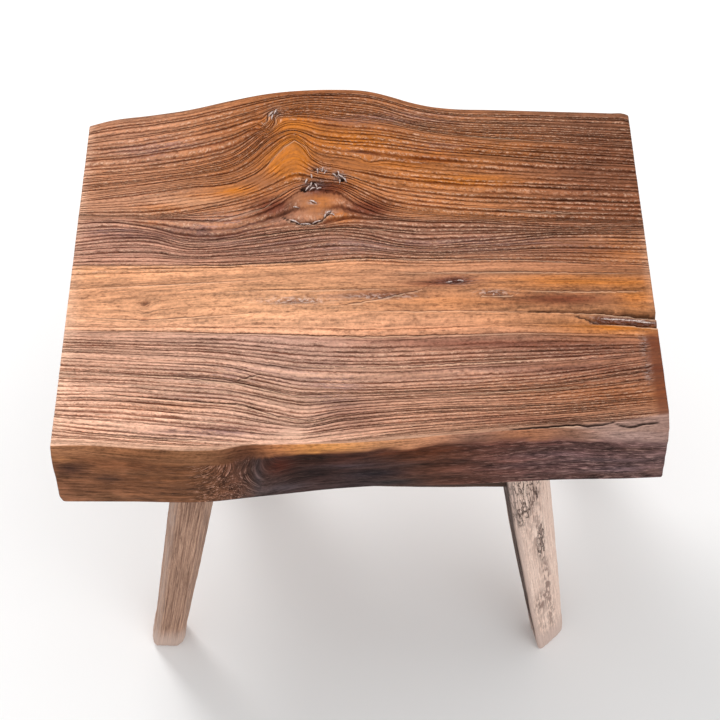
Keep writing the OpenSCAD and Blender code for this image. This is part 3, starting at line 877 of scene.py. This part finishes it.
def leg_masks(z, degrees, riven):
    """What the material of a leg reads: stains, painted shade on the side face that looks inwards, a crack
    and scratches, on the riven leg only.
    """
    if not riven:
        return {name: 0 * z for name in ("stain", "side_shade", "crack", "scratch")}
    path = [(at * DEGREE_WIDTH, height) for height, at in RIVEN_CRACK]
    crack, _, _ = near_path(degrees * DEGREE_WIDTH, z, path)
    return {
        "stain": leg_marks(z, degrees, RIVEN_STAINS),
        "side_shade": ease(0.9, 1.6, leg_marks(z, degrees, RIVEN_SHADED_SIDE, 3)),
        "crack": ease(1.5, 0.4, crack),
        "scratch": leg_marks(z, degrees, RIVEN_SCRATCHES),
    }


def build_leg(node, work, wood, seed):
    """A leg: a tapering billet with tool marks, raised grain, worn corners and a round tenon."""
    side, row, foot_x, foot_y = leg_place(node, work.section)
    seat_floor = SEAT_LOW.z / MM
    lean = math.tan(math.radians(LEG_LEAN))
    run = seat_floor * lean
    outline, girth = resample(work.section, LEG_AROUND)
    heights = np.concatenate([FOOT_ROWS, np.linspace(FIRST_ROW, seat_floor + LEG_OVERLAP, LEG_ROWS)])
    part = heights / seat_floor
    belly = np.sin(np.pi * np.clip(part, 0, 1))
    width = LEG_FOOT + (LEG_TOP - LEG_FOOT) * part + work.swell * belly
    around = np.arange(LEG_AROUND)[None, :] / LEG_AROUND
    z = heights[:, None] + 0 * around
    out, corner, arc = leg_relief(z, around, outline, girth, work, seed)
    local = outline[None, :, :] * width[:, None, None]
    from_axis = np.maximum(np.hypot(local[..., 0], local[..., 1]), 1)
    local = local * (1 + (out - LEG_SHRINK) / from_axis)[..., None]
    bow = 0.8 * belly * (hashed(seed, 1, 3) - 0.5)
    x = (foot_x - side * run * part)[:, None] - side * local[..., 0] + bow[:, None]
    y = (foot_y - row * run * part)[:, None] - row * local[..., 1]

    # The round tenon runs on along the leg's axis
    axis = np.array([-side * lean, -row * lean, 1.0])
    axis /= np.linalg.norm(axis)
    top = np.array([foot_x - side * run, foot_y - row * run, seat_floor + LEG_OVERLAP])
    angle = np.arctan2(outline[:, 1], outline[:, 0])
    circle = np.stack([-side * np.cos(angle), -row * np.sin(angle), 0 * angle], 1) * TENON_RADIUS
    rings = [top + circle * size + axis * up
             for size, up in ((1, 0.0), (1, TENON_LENGTH - 2), (0.93, TENON_LENGTH - 1))]
    points = np.concatenate([np.stack([x, y, z], -1), rings]).reshape(-1, 3)
    faces, caps = tube_faces(len(heights) + len(rings), LEG_AROUND, turned=side * row > 0)
    piece = new_mesh(node + "_hewn", points * MM, faces + caps, [wood])

    hidden = np.zeros((len(rings), LEG_AROUND))
    degrees = np.degrees(np.arctan2(-row * local[..., 1], -side * local[..., 0])) % 360
    masks = leg_masks(z, degrees, work is RIVEN_WORK)
    for name, values in {**masks, "corner": corner + 0 * z}.items():
        write_number(piece, name, np.concatenate([values, hidden]))
    up = np.concatenate([z, hidden + seat_floor])
    write_number(piece, "height", up)
    write_vector(piece, "grain", up, np.concatenate([arc, hidden + arc[:1]]), seed)
    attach(piece, "root")
    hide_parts(node)


# How far from the middle a rail is cut down, just inside the leg, and by how much of its thickness
RAIL_SHOULDER = 87.0
RAIL_CUT = 0.7
# How far a rail's tenons stop short of the CAD rail, and how far its corners are rounded, in mm
RAIL_SHORT = 4.0
RAIL_CORNER = 2.0
RAIL_COLUMNS = 110
RAIL_AROUND = 96


def rounded_board(half_y, half_z, corner):
    """The outline of a board's section, with round corners."""
    outline = []
    for sign_y, sign_z, start in ((1, 1, 0), (-1, 1, 90), (-1, -1, 180), (1, -1, 270)):
        for angle in np.radians(np.arange(0, 91, 30) + start):
            outline.append((
                sign_y * (half_y - corner) + corner * math.cos(angle),
                sign_z * (half_z - corner) + corner * math.sin(angle),
            ))
    return outline


def build_rail(node, wood, seed):
    """A rail: a sawn board with rounded, uneven edges, whose ends run into the legs."""
    low, high = (np.array(corner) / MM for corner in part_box(node))
    middle, half = (low + high) / 2, (high - low) / 2
    lean = math.tan(math.radians(LEG_LEAN))
    section, _ = resample(rounded_board(half[1], half[2], RAIL_CORNER), RAIL_AROUND)
    reach = max(abs(low[0]), abs(high[0])) - RAIL_SHORT
    along = np.linspace(-1, 1, RAIL_COLUMNS)[:, None]
    y, z = section[:, 0][None, :], section[:, 1][None, :]
    x = along * (reach - z * lean)
    turn = np.arange(RAIL_AROUND) / RAIL_AROUND * 2 * np.pi
    ripple = 0.22 * rough(x / 60, z / 2.1 + y * 3, seed) + 0.3 * rough(x / 28, turn + 0 * x, seed + 1)
    scale = 1 + (ripple - 0.35) / np.maximum(np.hypot(y, z), 1)
    # The lower edge dips and rises a little, as a riven board's does
    dip = 0.9 * rough(x / 55, 0 * x, seed + 2) * ease(0, -half[2], z)
    # Inside the legs the board is cut down to a thin tenon
    tenon = 1 - RAIL_CUT * ease(RAIL_SHOULDER, RAIL_SHOULDER + 1, np.abs(along) * reach)
    height = np.minimum(middle[2] + z * scale + dip, high[2] - 0.02)
    points = np.stack([x, middle[1] + y * scale * tenon, height], -1)
    faces, caps = tube_faces(RAIL_COLUMNS, RAIL_AROUND, turned=True)
    piece = new_mesh(node + "_board", points.reshape(-1, 3) * MM, faces + caps, [wood])
    write_number(piece, "corner", np.broadcast_to(ease(half[2] * 0.93, half[2], np.abs(z)), x.shape))
    write_vector(piece, "grain", x, z + y * 0.7, seed)
    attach(piece, "root")
    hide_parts(node)


PEG_SIDES = 24


def build_peg(node, wood, seed):
    """A peg: whittled to uneven flats, with a hammered, slightly domed head."""
    low, high = (np.array(corner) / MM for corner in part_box(node))
    middle = (low + high) / 2
    radius = (high[0] - low[0]) / 2
    row = -1 if "front" in node else 1
    length = high[1] - low[1]
    turn = np.arange(PEG_SIDES) / PEG_SIDES * 2 * np.pi
    flats = radius * (0.93 + 0.05 * np.cos(turn * 7 + seed) + 0.04 * rough(turn * 1.3, 0 * turn, seed))
    depth = np.array([0, 0.15, 0.5, 1.2, length * 0.5, length - 1.5, length])
    size = np.array([0.55, 0.82, 0.96, 1.0, 1.0, 0.95, 0.7])
    y = row * (length / 2 - depth)[:, None] + 0 * turn
    x, z = size[:, None] * flats * np.cos(turn), size[:, None] * flats * np.sin(turn)
    dent = 0.12 * rough(x * 0.8, z * 0.8, seed) * (depth < 0.3)[:, None]
    points = np.stack([middle[0] + x, middle[1] + y - row * np.abs(dent), middle[2] + z], -1)
    faces, caps = tube_faces(len(depth), PEG_SIDES, turned=row > 0)
    piece = new_mesh(node + "_whittled", points.reshape(-1, 3) * MM, faces + caps, [wood])
    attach(piece, "root")
    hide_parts(node)


# ---------------------------------------------------------------- materials

class Mixer:
    """Builds one material out of small steps."""

    def __init__(self, name):
        self.material = bpy.data.materials.new(name)
        self.material.use_nodes = True
        self.tree = self.material.node_tree
        self.surface = self.tree.nodes["Principled BSDF"]

    def put(self, socket, value):
        if isinstance(value, bpy.types.NodeSocket):
            self.tree.links.new(value, socket)
        elif isinstance(value, tuple) and len(value) == 3 and socket.type == "RGBA":
            socket.default_value = (*[float(v) for v in linear(value)], 1)
        else:
            socket.default_value = value

    def math(self, operation, *values):
        node = self.tree.nodes.new("ShaderNodeMath")
        node.operation = operation
        for socket, value in zip(node.inputs, values):
            self.put(socket, value)
        return node.outputs[0]

    def add(self, first, *others):
        for other in others:
            first = self.math("ADD", first, other)
        return first

    def times(self, first, *others):
        for other in others:
            first = self.math("MULTIPLY", first, other)
        return first

    def less(self, a, b):
        return self.math("SUBTRACT", a, b)

    def swing(self, value, amount):
        """A value that lies round a half, turned into one that lies round nothing."""
        return self.times(self.add(value, -0.5), amount)

    def ease(self, low, high, value, start=0.0, end=1.0):
        node = self.tree.nodes.new("ShaderNodeMapRange")
        node.interpolation_type = "SMOOTHSTEP"
        for socket, number in zip(node.inputs, (value, low, high, start, end)):
            self.put(socket, number)
        return node.outputs[0]

    def mix(self, part, a, b, how="MIX"):
        node = self.tree.nodes.new("ShaderNodeMix")
        node.data_type = "RGBA"
        node.blend_type = how
        self.put(node.inputs["Factor"], part)
        self.put(node.inputs[6], a)
        self.put(node.inputs[7], b)
        return node.outputs[2]

    def lay(self, colour, paint, part, strength=1.0):
        """Paint laid over part of a colour."""
        if strength != 1:
            part = self.times(part, strength)
        return self.mix(part, colour, paint)

    def darken(self, colour, shade, part, strength=1.0):
        """Part of a colour multiplied by a shade."""
        return self.lay(colour, self.mix(1.0, colour, shade, "MULTIPLY"), part, strength)

    def flat(self, colour):
        """A plain colour as a step that others can change."""
        node = self.tree.nodes.new("ShaderNodeRGB")
        node.outputs[0].default_value = (*[float(v) for v in linear(colour)], 1)
        return node.outputs[0]

    def brighten(self, colour, amount):
        node = self.tree.nodes.new("ShaderNodeVectorMath")
        node.operation = "SCALE"
        self.put(node.inputs[0], colour)
        self.put(node.inputs["Scale"], amount)
        return node.outputs[0]

    def stored(self, name, output):
        """What the mesh stores for every point."""
        node = self.tree.nodes.new("ShaderNodeAttribute")
        node.attribute_name = name
        return node.outputs[output]

    def number(self, name):
        return self.stored(name, "Fac")

    def colour(self, name):
        return self.stored(name, "Color")

    def vector(self, name):
        return self.stored(name, "Vector")

    def place(self):
        """Where a point is on its piece, in millimetres."""
        node = self.tree.nodes.new("ShaderNodeTexCoord")
        return self.stretch(node.outputs["Object"], (1 / MM, 1 / MM, 1 / MM))

    def stretch(self, vector, scale, shift=(0, 0, 0)):
        node = self.tree.nodes.new("ShaderNodeVectorMath")
        node.operation = "MULTIPLY_ADD"
        self.put(node.inputs[0], vector)
        node.inputs[1].default_value = scale
        node.inputs[2].default_value = shift
        return node.outputs[0]

    def split(self, vector):
        node = self.tree.nodes.new("ShaderNodeSeparateXYZ")
        self.put(node.inputs[0], vector)
        return node.outputs

    def join(self, x, y, z):
        node = self.tree.nodes.new("ShaderNodeCombineXYZ")
        for socket, value in zip(node.inputs, (x, y, z)):
            self.put(socket, value)
        return node.outputs[0]

    def noise(self, vector, scale=(1, 1, 1), detail=3.0, fineness=0.55, shift=(0, 0, 0)):
        node = self.tree.nodes.new("ShaderNodeTexNoise")
        self.put(node.inputs["Vector"], self.stretch(vector, scale, shift))
        node.inputs["Scale"].default_value = 1.0
        node.inputs["Detail"].default_value = detail
        node.inputs["Roughness"].default_value = fineness
        return node.outputs["Fac"]

    def random(self, value, seed=0.0):
        node = self.tree.nodes.new("ShaderNodeTexWhiteNoise")
        node.noise_dimensions = "2D"
        self.put(node.inputs["Vector"], self.join(value, seed, 0.0))
        return node.outputs["Value"]

    def bump(self, height, distance, strength=1.0):
        node = self.tree.nodes.new("ShaderNodeBump")
        node.inputs["Strength"].default_value = strength
        node.inputs["Distance"].default_value = distance * MM
        self.put(node.inputs["Height"], height)
        return node.outputs[0]

    def finish(self, colour, roughness, normal, gloss=0.35):
        self.put(self.surface.inputs["Base Color"], colour)
        self.put(self.surface.inputs["Roughness"], roughness)
        self.put(self.surface.inputs["Normal"], normal)
        self.surface.inputs["Specular IOR Level"].default_value = gloss
        return self.material


def edge_wood(m, tone):
    """The live edges, mottled and streaked along the fibres, with pale torn threads; and those threads."""
    place = m.vector("edge")
    mottle = m.noise(place, (0.06, 0.2, 1), 4.0, 0.65, (4, 1, 0))
    streak = m.noise(place, (0.025, 0.5, 1), 5.0, 0.68, (9, 2, 0))
    hair = m.noise(place, (0.08, 0.85, 1), 3.0, 0.65, (2, 7, 0))
    thread = m.noise(place, (0.16, 1.1, 1), 3.0, 0.7, (5, 3, 0))
    bruise = m.number("bruise")
    bruised = m.ease(0.1, 0.7, bruise, 0.35, 0.85)
    light = m.add(m.ease(0.3, 0.7, mottle, 0.62, 1.32), m.swing(m.ease(0.3, 0.7, streak), 0.7))
    light = m.add(light, m.swing(m.ease(0.34, 0.66, thread), bruised))
    torn_thread = m.math("MAXIMUM", m.ease(0.57, 0.64, hair), m.ease(0.6, 0.66, thread))
    lifted = m.mix(0.35, m.brighten(tone, 3.0), (196, 164, 150))
    edge = m.lay(m.brighten(tone, light), lifted, m.times(torn_thread, bruise))
    return m.lay(edge, (58, 36, 30), m.times(m.ease(0.42, 0.3, hair), m.times(bruised, 0.6))), hair


def under_wood(m, tone, fibre):
    """The underside: plain and sawn."""
    saw = m.noise(m.place(), (0.9, 0.02, 0.02), 2.0, 0.5)
    under = m.brighten(tone, m.ease(0.3, 0.7, fibre, 0.8, 1.15))
    return m.lay(under, (110, 78, 58), m.ease(0.45, 0.6, saw), 0.25)


def seat_material():
    """Brushed, weathered board: thin dark grooves partly painted as shade, pale torn ridges with a painted
    highlight, grey streaks, rubbed orange places, and painted shade in its cracks and holes.
    """
    m = Mixer("seat_wood")
    grain = m.vector("grain")
    along, phase, _ = m.split(grain)
    cut, calm, torn = (m.number(name) for name in ("cut", "smooth", "torn"))
    # The grooves between the rings wander a little, and differ in width and depth
    jag = m.noise(grain, (0.5, 1.3, 0.2), 2.0, 0.65)
    swing = m.noise(grain, (0.05, 0.7, 0.1), 2.0, 0.5)
    moved = m.add(phase, m.add(m.swing(jag, 0.45), m.swing(swing, 0.4)))
    ring = m.math("FLOOR", moved)
    part = m.math("FRACT", moved)
    to_line = m.math("MINIMUM", part, m.less(1.0, part))
    line_noise = m.noise(m.join(along, ring, 0.0), (0.03, 7.0, 1), 3.0, 0.65)
    width = m.times(m.ease(0.32, 0.7, line_noise, 0.12, 0.34), m.ease(0.0, 0.8, cut, 0.7, 1.5))
    grooved = m.ease(0.0, 0.35, cut)
    line = m.times(m.ease(width, 0.0, to_line), m.ease(0.3, 0.6, line_noise, 0.25, 1.0), grooved)
    ridge = m.times(m.ease(0.12, 0.3, part), m.ease(0.7, 0.4, part))

    # Fine fibres, pores and the change from ring to ring
    fibre = m.noise(grain, (0.05, 2.3, 0.8), 4.0, 0.7)
    pore = m.ease(0.56, 0.7, m.noise(grain, (0.26, 3.0, 1.0), 2.0, 0.5, (3, 5, 1)))
    streak = m.noise(grain, (0.014, 0.9, 0.3), 4.0, 0.6, (0, 9, 0))
    speck = m.noise(grain, (0.5, 2.8, 1.0), 2.0, 0.6, (1, 1, 4))
    rest = m.ease(0.0, 1.0, calm, 1.0, 0.25)

    # Light and dark: how bright the wood is beside its own tone, with a painted highlight along the ridges
    # between the grooves
    light = m.add(1.07, m.swing(m.ease(0.34, 0.66, fibre), 0.55))
    light = m.add(light, m.swing(m.random(ring, 3.0), 0.26))
    light = m.add(light, m.swing(m.ease(0.3, 0.7, streak), 0.5))
    light = m.add(light, m.swing(speck, 1.1))
    # Painted highlight on the ridges between the grooves
    light = m.add(light, m.times(m.add(m.times(ridge, 0.25), 0.07), grooved))
    tone = m.colour("tone")
    colour = m.brighten(tone, m.add(1.0, m.times(m.add(light, -1.0), rest)))

    def shaded(paint):
        return m.brighten(m.flat(paint), light)

    # Rubbed orange places, and grey, weathered streaks
    orange = m.times(m.number("orange"), m.ease(0.25, 0.65, streak, 0.55, 0.95))
    colour = m.lay(colour, shaded((185, 106, 25)), orange)
    grey_streak = m.noise(grain, (0.03, 1.3, 0.4), 3.0, 0.6, (7, 0, 2))
    grey_bit = m.noise(grain, (0.35, 3.0, 1.0), 2.0, 0.6, (2, 0, 2))
    greyed = m.ease(0.42, 0.6, m.add(grey_streak, m.swing(grey_bit, 0.4)))
    colour = m.lay(colour, shaded((138, 106, 102)), m.times(greyed, m.number("grey")), 0.75)
    # Pale torn fibres on the ridges beside the grooves, more of them towards the right
    fleck = m.noise(grain, (0.55, 3.2, 1.0), 3.0, 0.7, (0, 0, 11))
    fleck = m.add(fleck, m.times(m.ease(-40.0, 40.0, along), m.ease(165.0, 125.0, along, 0.0, 0.02)))
    pale = m.times(m.ease(0.49, 0.57, fleck), ridge, m.ease(0.1, 0.5, cut), rest)
    torn_noise = m.ease(0.46, 0.58, m.noise(grain, (0.35, 3.2, 1.2), 3.0, 0.65, (5, 2, 4)))
    torn_pale = m.times(torn, torn_noise)
    colour = m.lay(colour, (86, 50, 42), m.times(torn, m.less(1.0, torn_noise)), 0.75)
    colour = m.lay(colour, m.mix(0.6, colour, (250, 204, 174)), pale, 0.75)
    colour = m.lay(colour, (206, 188, 182), torn_pale, 0.9)
    colour = m.lay(colour, shaded((236, 192, 164)), m.number("pale"), 0.6)
    # Dark places, pores, and the groove lines: painted shade in the brushed grooves, over darker ring lines
    colour = m.darken(colour, (150, 106, 102), m.number("dark"), 0.85)
    colour = m.darken(colour, (130, 92, 78), m.times(pore, rest), 0.4)
    colour = m.darken(colour, (128, 82, 56), line, 0.85)
    # Thin cracks: a crisp dark line of painted shade, with a painted highlight on the lip on its front side
    off = m.add(m.number("crack_off"), m.swing(jag, 1.4))
    near = m.number("crack_near")
    lip_highlight = m.times(m.ease(-0.9, -1.5, off), m.ease(-3.4, -2.0, off), near)
    colour = m.lay(colour, (238, 196, 164), lip_highlight, 0.5)
    crack_shade = m.ease(1.1, 0.5, m.math("ABSOLUTE", off))
    colour = m.lay(colour, (80, 50, 38), m.times(crack_shade, m.times(near, 0.85)))
    # The worn bevel is paler and greyer
    colour = m.lay(colour, shaded((172, 138, 126)), m.number("worn"), 0.8)

    bark = m.number("bark")
    edge, hair = edge_wood(m, tone)
    colour = m.lay(colour, edge, bark)
    colour = m.lay(colour, under_wood(m, tone, fibre), m.number("below"))
    # Painted shade inside open cracks and holes
    colour = m.lay(colour, (34, 20, 18), m.number("gap_shade"), 0.88)
    roughness = m.add(m.ease(0.0, 1.0, calm, 0.58, 0.4), m.times(line, 0.2), m.times(fibre, 0.08))
    relief = m.add(m.less(m.times(fibre, 0.35), line), m.times(m.add(pale, torn_pale), 0.6))
    relief = m.add(m.less(relief, m.times(pore, 0.25)), m.times(hair, m.times(bark, 0.8)))
    return m.finish(colour, roughness, m.bump(relief, 0.5, 1.0), 0.08)


# The pith that the growth rings of the sawn ends curve round, and the width of a ring, in mm
PITH_Y = -26.0
PITH_Z = 88.0
END_RING_WIDTH = 2.4


def end_material():
    """Sawn end grain: growth rings that curve round a pith below the board, with fine checks."""
    m = Mixer("seat_end_grain")
    x, y, z = m.split(m.place())
    middle_y = m.add(y, -PITH_Y)
    middle_z = m.add(z, -PITH_Z)
    radius = m.math("SQRT", m.add(m.times(middle_y, middle_y), m.times(middle_z, middle_z)))
    place = m.join(m.times(x, 0.1), y, z)
    wobble = m.noise(place, (0.05, 0.05, 0.05), 3.0, 0.5)
    rings = m.times(m.add(radius, m.times(wobble, 6.0)), 1 / END_RING_WIDTH)
    part = m.math("FRACT", rings)
    late = m.times(m.ease(0.5, 0.96, part), m.ease(1.0, 0.97, part))
    tone = m.random(m.math("FLOOR", rings), 8.0)
    cells = m.noise(place, (2.2, 2.2, 2.2), 2.0, 0.6)
    turn = m.math("ARCTAN2", middle_y, middle_z)
    rays = m.noise(m.join(m.times(turn, 60.0), m.times(radius, 0.05), 0.0), (1, 1, 1), 3.0, 0.6)
    check = m.ease(0.66, 0.72, rays)
    dirt = m.noise(place, (0.03, 0.05, 0.09), 4.0, 0.65, (2, 2, 2))
    colour = m.mix(tone, (140, 96, 70), (112, 76, 56))
    colour = m.lay(colour, (74, 46, 34), late, 0.7)
    colour = m.lay(colour, (178, 134, 104), m.ease(0.4, 0.66, cells, 0.0, 0.4))
    colour = m.lay(colour, (84, 60, 52), m.ease(0.44, 0.62, dirt, 0.0, 0.6))
    colour = m.lay(colour, (44, 28, 24), check, 0.8)
    relief = m.less(m.times(cells, 0.3), m.add(m.times(check, 0.8), m.times(late, -0.3)))
    return m.finish(colour, 0.72, m.bump(relief, 0.3, 0.8), 0.3)


def leg_material(name, pale, mid, dark, foot):
    """Hewn or riven leg: raised grain, rubbed corners, a scuffed foot, stains and dark scratches."""
    m = Mixer(name)
    grain = m.vector("grain")
    fibre = m.noise(grain, (0.025, 0.9, 1), 4.0, 0.65)
    fine = m.noise(grain, (0.06, 1.5, 1), 4.0, 0.7, (3, 1, 0))
    speck = m.noise(grain, (0.5, 1.4, 1), 2.0, 0.6, (1, 8, 0))
    blotch = m.noise(grain, (0.05, 0.1, 1), 3.0, 0.55, (5, 2, 0))
    patchy = m.noise(grain, (0.14, 0.22, 1), 3.0, 0.6, (8, 2, 0))
    colour = m.mix(m.ease(0.34, 0.66, fibre), mid, pale)
    colour = m.lay(colour, dark, m.ease(0.48, 0.66, fine, 0.0, 0.75))
    colour = m.lay(colour, mid, m.ease(0.52, 0.7, blotch, 0.0, 0.4))
    colour = m.brighten(colour, m.add(1.0, m.swing(speck, 0.6)))
    stain = m.times(m.number("stain"), m.ease(0.42, 0.56, m.add(patchy, m.swing(fine, 0.5))))
    colour = m.lay(colour, (122, 94, 86), stain, 0.75)
    # Thin dark scratches that wander along the grain
    wander = m.noise(grain, (0.1, 0.42, 1), 2.0, 0.5, (2, 6, 0))
    thin = m.ease(0.034, 0.01, m.math("ABSOLUTE", m.add(wander, -0.5)))
    dash = m.ease(0.57, 0.63, m.noise(grain, (0.17, 1.0, 1), 2.0, 0.6, (9, 4, 0)))
    scratch = m.times(m.math("MAXIMUM", thin, dash), m.ease(0.25, 0.7, m.number("scratch")))
    colour = m.lay(colour, (58, 40, 34), scratch, 0.85)
    # Painted shade on the riven leg's side face that looks inwards
    colour = m.lay(colour, (56, 32, 24), m.times(m.number("side_shade"), m.ease(0.3, 0.6, fine, 0.8, 1.0)))
    colour = m.lay(colour, (70, 46, 38), m.number("crack"), 0.75)
    rubbed = m.times(m.number("corner"), m.ease(0.35, 0.6, fine))
    rubbed = m.times(rubbed, m.less(1.0, m.number("side_shade")))
    colour = m.lay(colour, foot, rubbed, 0.75)
    low = m.add(m.number("height"), m.swing(blotch, 14.0))
    colour = m.lay(colour, foot, m.ease(20.0, 6.0, low, 0.0, 0.75))
    relief = m.add(m.times(fibre, 0.6), m.times(fine, 0.7))
    relief = m.less(relief, m.times(scratch, 1.0))
    roughness = m.ease(0.3, 0.7, fine, 0.55, 0.8)
    return m.finish(colour, roughness, m.bump(relief, 0.4, 0.9), 0.2)


def rail_material():
    """Dark board, its colours painted dark as shade under the seat, with raised grain and rubbed edges."""
    m = Mixer("rail_wood")
    grain = m.vector("grain")
    fibre = m.noise(grain, (0.02, 0.8, 1), 4.0, 0.65)
    fine = m.noise(grain, (0.08, 3.2, 1), 4.0, 0.65, (3, 1, 0))
    saw = m.noise(grain, (1.1, 0.03, 1), 2.0, 0.5, (0, 0, 3))
    # Dark colours: painted shade under the seat
    colour = m.mix(m.ease(0.34, 0.66, fibre), (50, 31, 23), (86, 56, 40))
    colour = m.lay(colour, (38, 24, 20), m.ease(0.45, 0.7, fine, 0.0, 0.6))
    colour = m.lay(colour, (120, 82, 60), m.times(m.number("corner"), m.ease(0.35, 0.6, fine, 0.2, 0.7)))
    relief = m.add(m.times(fibre, 0.6), m.times(fine, 0.6), m.times(saw, 0.5))
    return m.finish(colour, m.ease(0.3, 0.7, fine, 0.5, 0.75), m.bump(relief, 0.4, 0.9), 0.3)


def splinter_material():
    """Bare, bleached torn wood."""
    m = Mixer("torn_wood")
    place = m.place()
    fine = m.noise(place, (1.2, 1.2, 1.2), 3.0, 0.6)
    colour = m.mix(m.ease(0.35, 0.65, fine), (150, 122, 114), (228, 210, 202))
    return m.finish(colour, 0.75, m.bump(fine, 0.2, 0.8), 0.2)


def plain_wood(name, pale, dark, axis_scale):
    """Straight-grained wood for the small parts; axis_scale is small along the grain."""
    m = Mixer(name)
    place = m.place()
    fibre = m.noise(place, axis_scale, 4.0, 0.6)
    fine = m.noise(place, tuple(3.2 * s for s in axis_scale), 3.0, 0.6, (3, 1, 2))
    colour = m.mix(m.ease(0.35, 0.65, fibre), dark, pale)
    colour = m.lay(colour, dark, m.ease(0.4, 0.7, fine, 0.0, 0.45))
    roughness = m.ease(0.3, 0.7, fine, 0.5, 0.75)
    return m.finish(colour, roughness, m.bump(m.add(fibre, m.times(fine, 0.5)), 0.3, 0.7), 0.35)


# ---------------------------------------------------------------- the view

FLOOR_REACH = 6.0
FLOOR_PAINT = (246, 246, 246)
SKY_STRENGTH = 0.75
# Soft round lights: name, place and width in metres, and power in watts; all point at the seat
LIGHTS = [("key", (-0.7, 1.5, 1.5), 0.7, 26), ("fill", (0.9, -1.2, 1.7), 1.6, 7)]
LIT_PLACE = Vector((0, 0, 0.2))
# The camera looks down on the seat from the front: its place in metres, its turns in degrees, and its lens
CAMERA_PLACE = (-0.0122, -0.7558, 1.0784)
CAMERA_TURN = -0.07
CAMERA_TILT = 38.93
CAMERA_ROLL = 0.16
CAMERA_LENS = 92.72
CAMERA_SHIFT = 0.025


def place_in_scene(name, data):
    holder = bpy.data.objects.new(name, data)
    bpy.context.scene.collection.objects.link(holder)
    return holder


def build_floor():
    """A plain pale floor."""
    mesh = bpy.data.meshes.new("floor")
    corners = [(x * FLOOR_REACH, y * FLOOR_REACH, 0) for x, y in ((-1, -1), (1, -1), (1, 1), (-1, 1))]
    mesh.from_pydata(corners, [], [(0, 1, 2, 3)])
    floor = place_in_scene("floor", mesh)
    m = Mixer("studio_floor")
    unevenness = m.noise(m.place(), (0.01, 0.01, 0.01))
    mesh.materials.append(m.finish(FLOOR_PAINT, 0.9, m.bump(unevenness, 0.01, 0.1), 0.1))


def light_scene():
    """A white surrounding and soft lights."""
    world = bpy.data.worlds.new("studio")
    world.use_nodes = True
    background = world.node_tree.nodes["Background"]
    background.inputs["Color"].default_value = (1, 1, 1, 1)
    background.inputs["Strength"].default_value = SKY_STRENGTH
    bpy.context.scene.world = world
    bpy.context.scene.view_settings.view_transform = "Standard"
    for name, place, width, power in LIGHTS:
        light = bpy.data.lights.new(name, "AREA")
        light.shape = "DISK"
        light.size = width
        light.energy = power
        lamp = place_in_scene(name, light)
        lamp.location = place
        lamp.rotation_euler = (LIT_PLACE - Vector(place)).to_track_quat("-Z", "Y").to_euler()


def set_camera():
    camera = bpy.data.cameras.new("camera")
    camera.lens = CAMERA_LENS
    camera.sensor_width = 36
    camera.shift_x = CAMERA_SHIFT
    camera.dof.use_dof = False
    holder = place_in_scene("camera", camera)
    turn, tilt, roll = (
        Matrix.Rotation(math.radians(angle), 4, axis)
        for angle, axis in ((CAMERA_TURN, "Z"), (CAMERA_TILT, "X"), (CAMERA_ROLL, "Z"))
    )
    holder.matrix_world = Matrix.Translation(CAMERA_PLACE) @ turn @ tilt @ roll
    bpy.context.scene.camera = holder


# ---------------------------------------------------------------- the stool, put together

def main():
    build_floor()
    light_scene()
    set_camera()
    seat = build_seat(seat_material(), end_material())
    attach(seat, "root")
    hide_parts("seat")
    splinters = build_splinters(splinter_material())
    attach(splinters, "root")

    hewn = leg_material("leg_wood", (204, 164, 140), (140, 106, 88), (84, 60, 52), (212, 188, 176))
    pale = leg_material("pale_leg_wood", (250, 224, 208), (230, 200, 184), (192, 156, 140), (204, 180, 170))
    build_leg("leg_front_left", HEWN_WORK, hewn, 11)
    build_leg("leg_front_right", RIVEN_WORK, pale, 23)
    build_leg("leg_back_left", HEWN_WORK, hewn, 37)
    build_leg("leg_back_right", HEWN_WORK, hewn, 53)
    rail = rail_material()
    build_rail("rail_front", rail, 5)
    build_rail("rail_back", rail, 17)
    peg = plain_wood("peg_wood", (126, 90, 66), (78, 52, 38), (0.5, 0.05, 0.5))
    wedge = plain_wood("wedge_wood", (190, 146, 100), (150, 108, 72), (0.5, 0.5, 0.04))
    for number, node in enumerate(sorted(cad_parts)):
        if node.startswith("peg"):
            build_peg(node, peg, 3 * number)
        if node.startswith("wedge"):
            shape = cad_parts[node].data
            shape.materials.clear()
            shape.materials.append(wedge)


main()
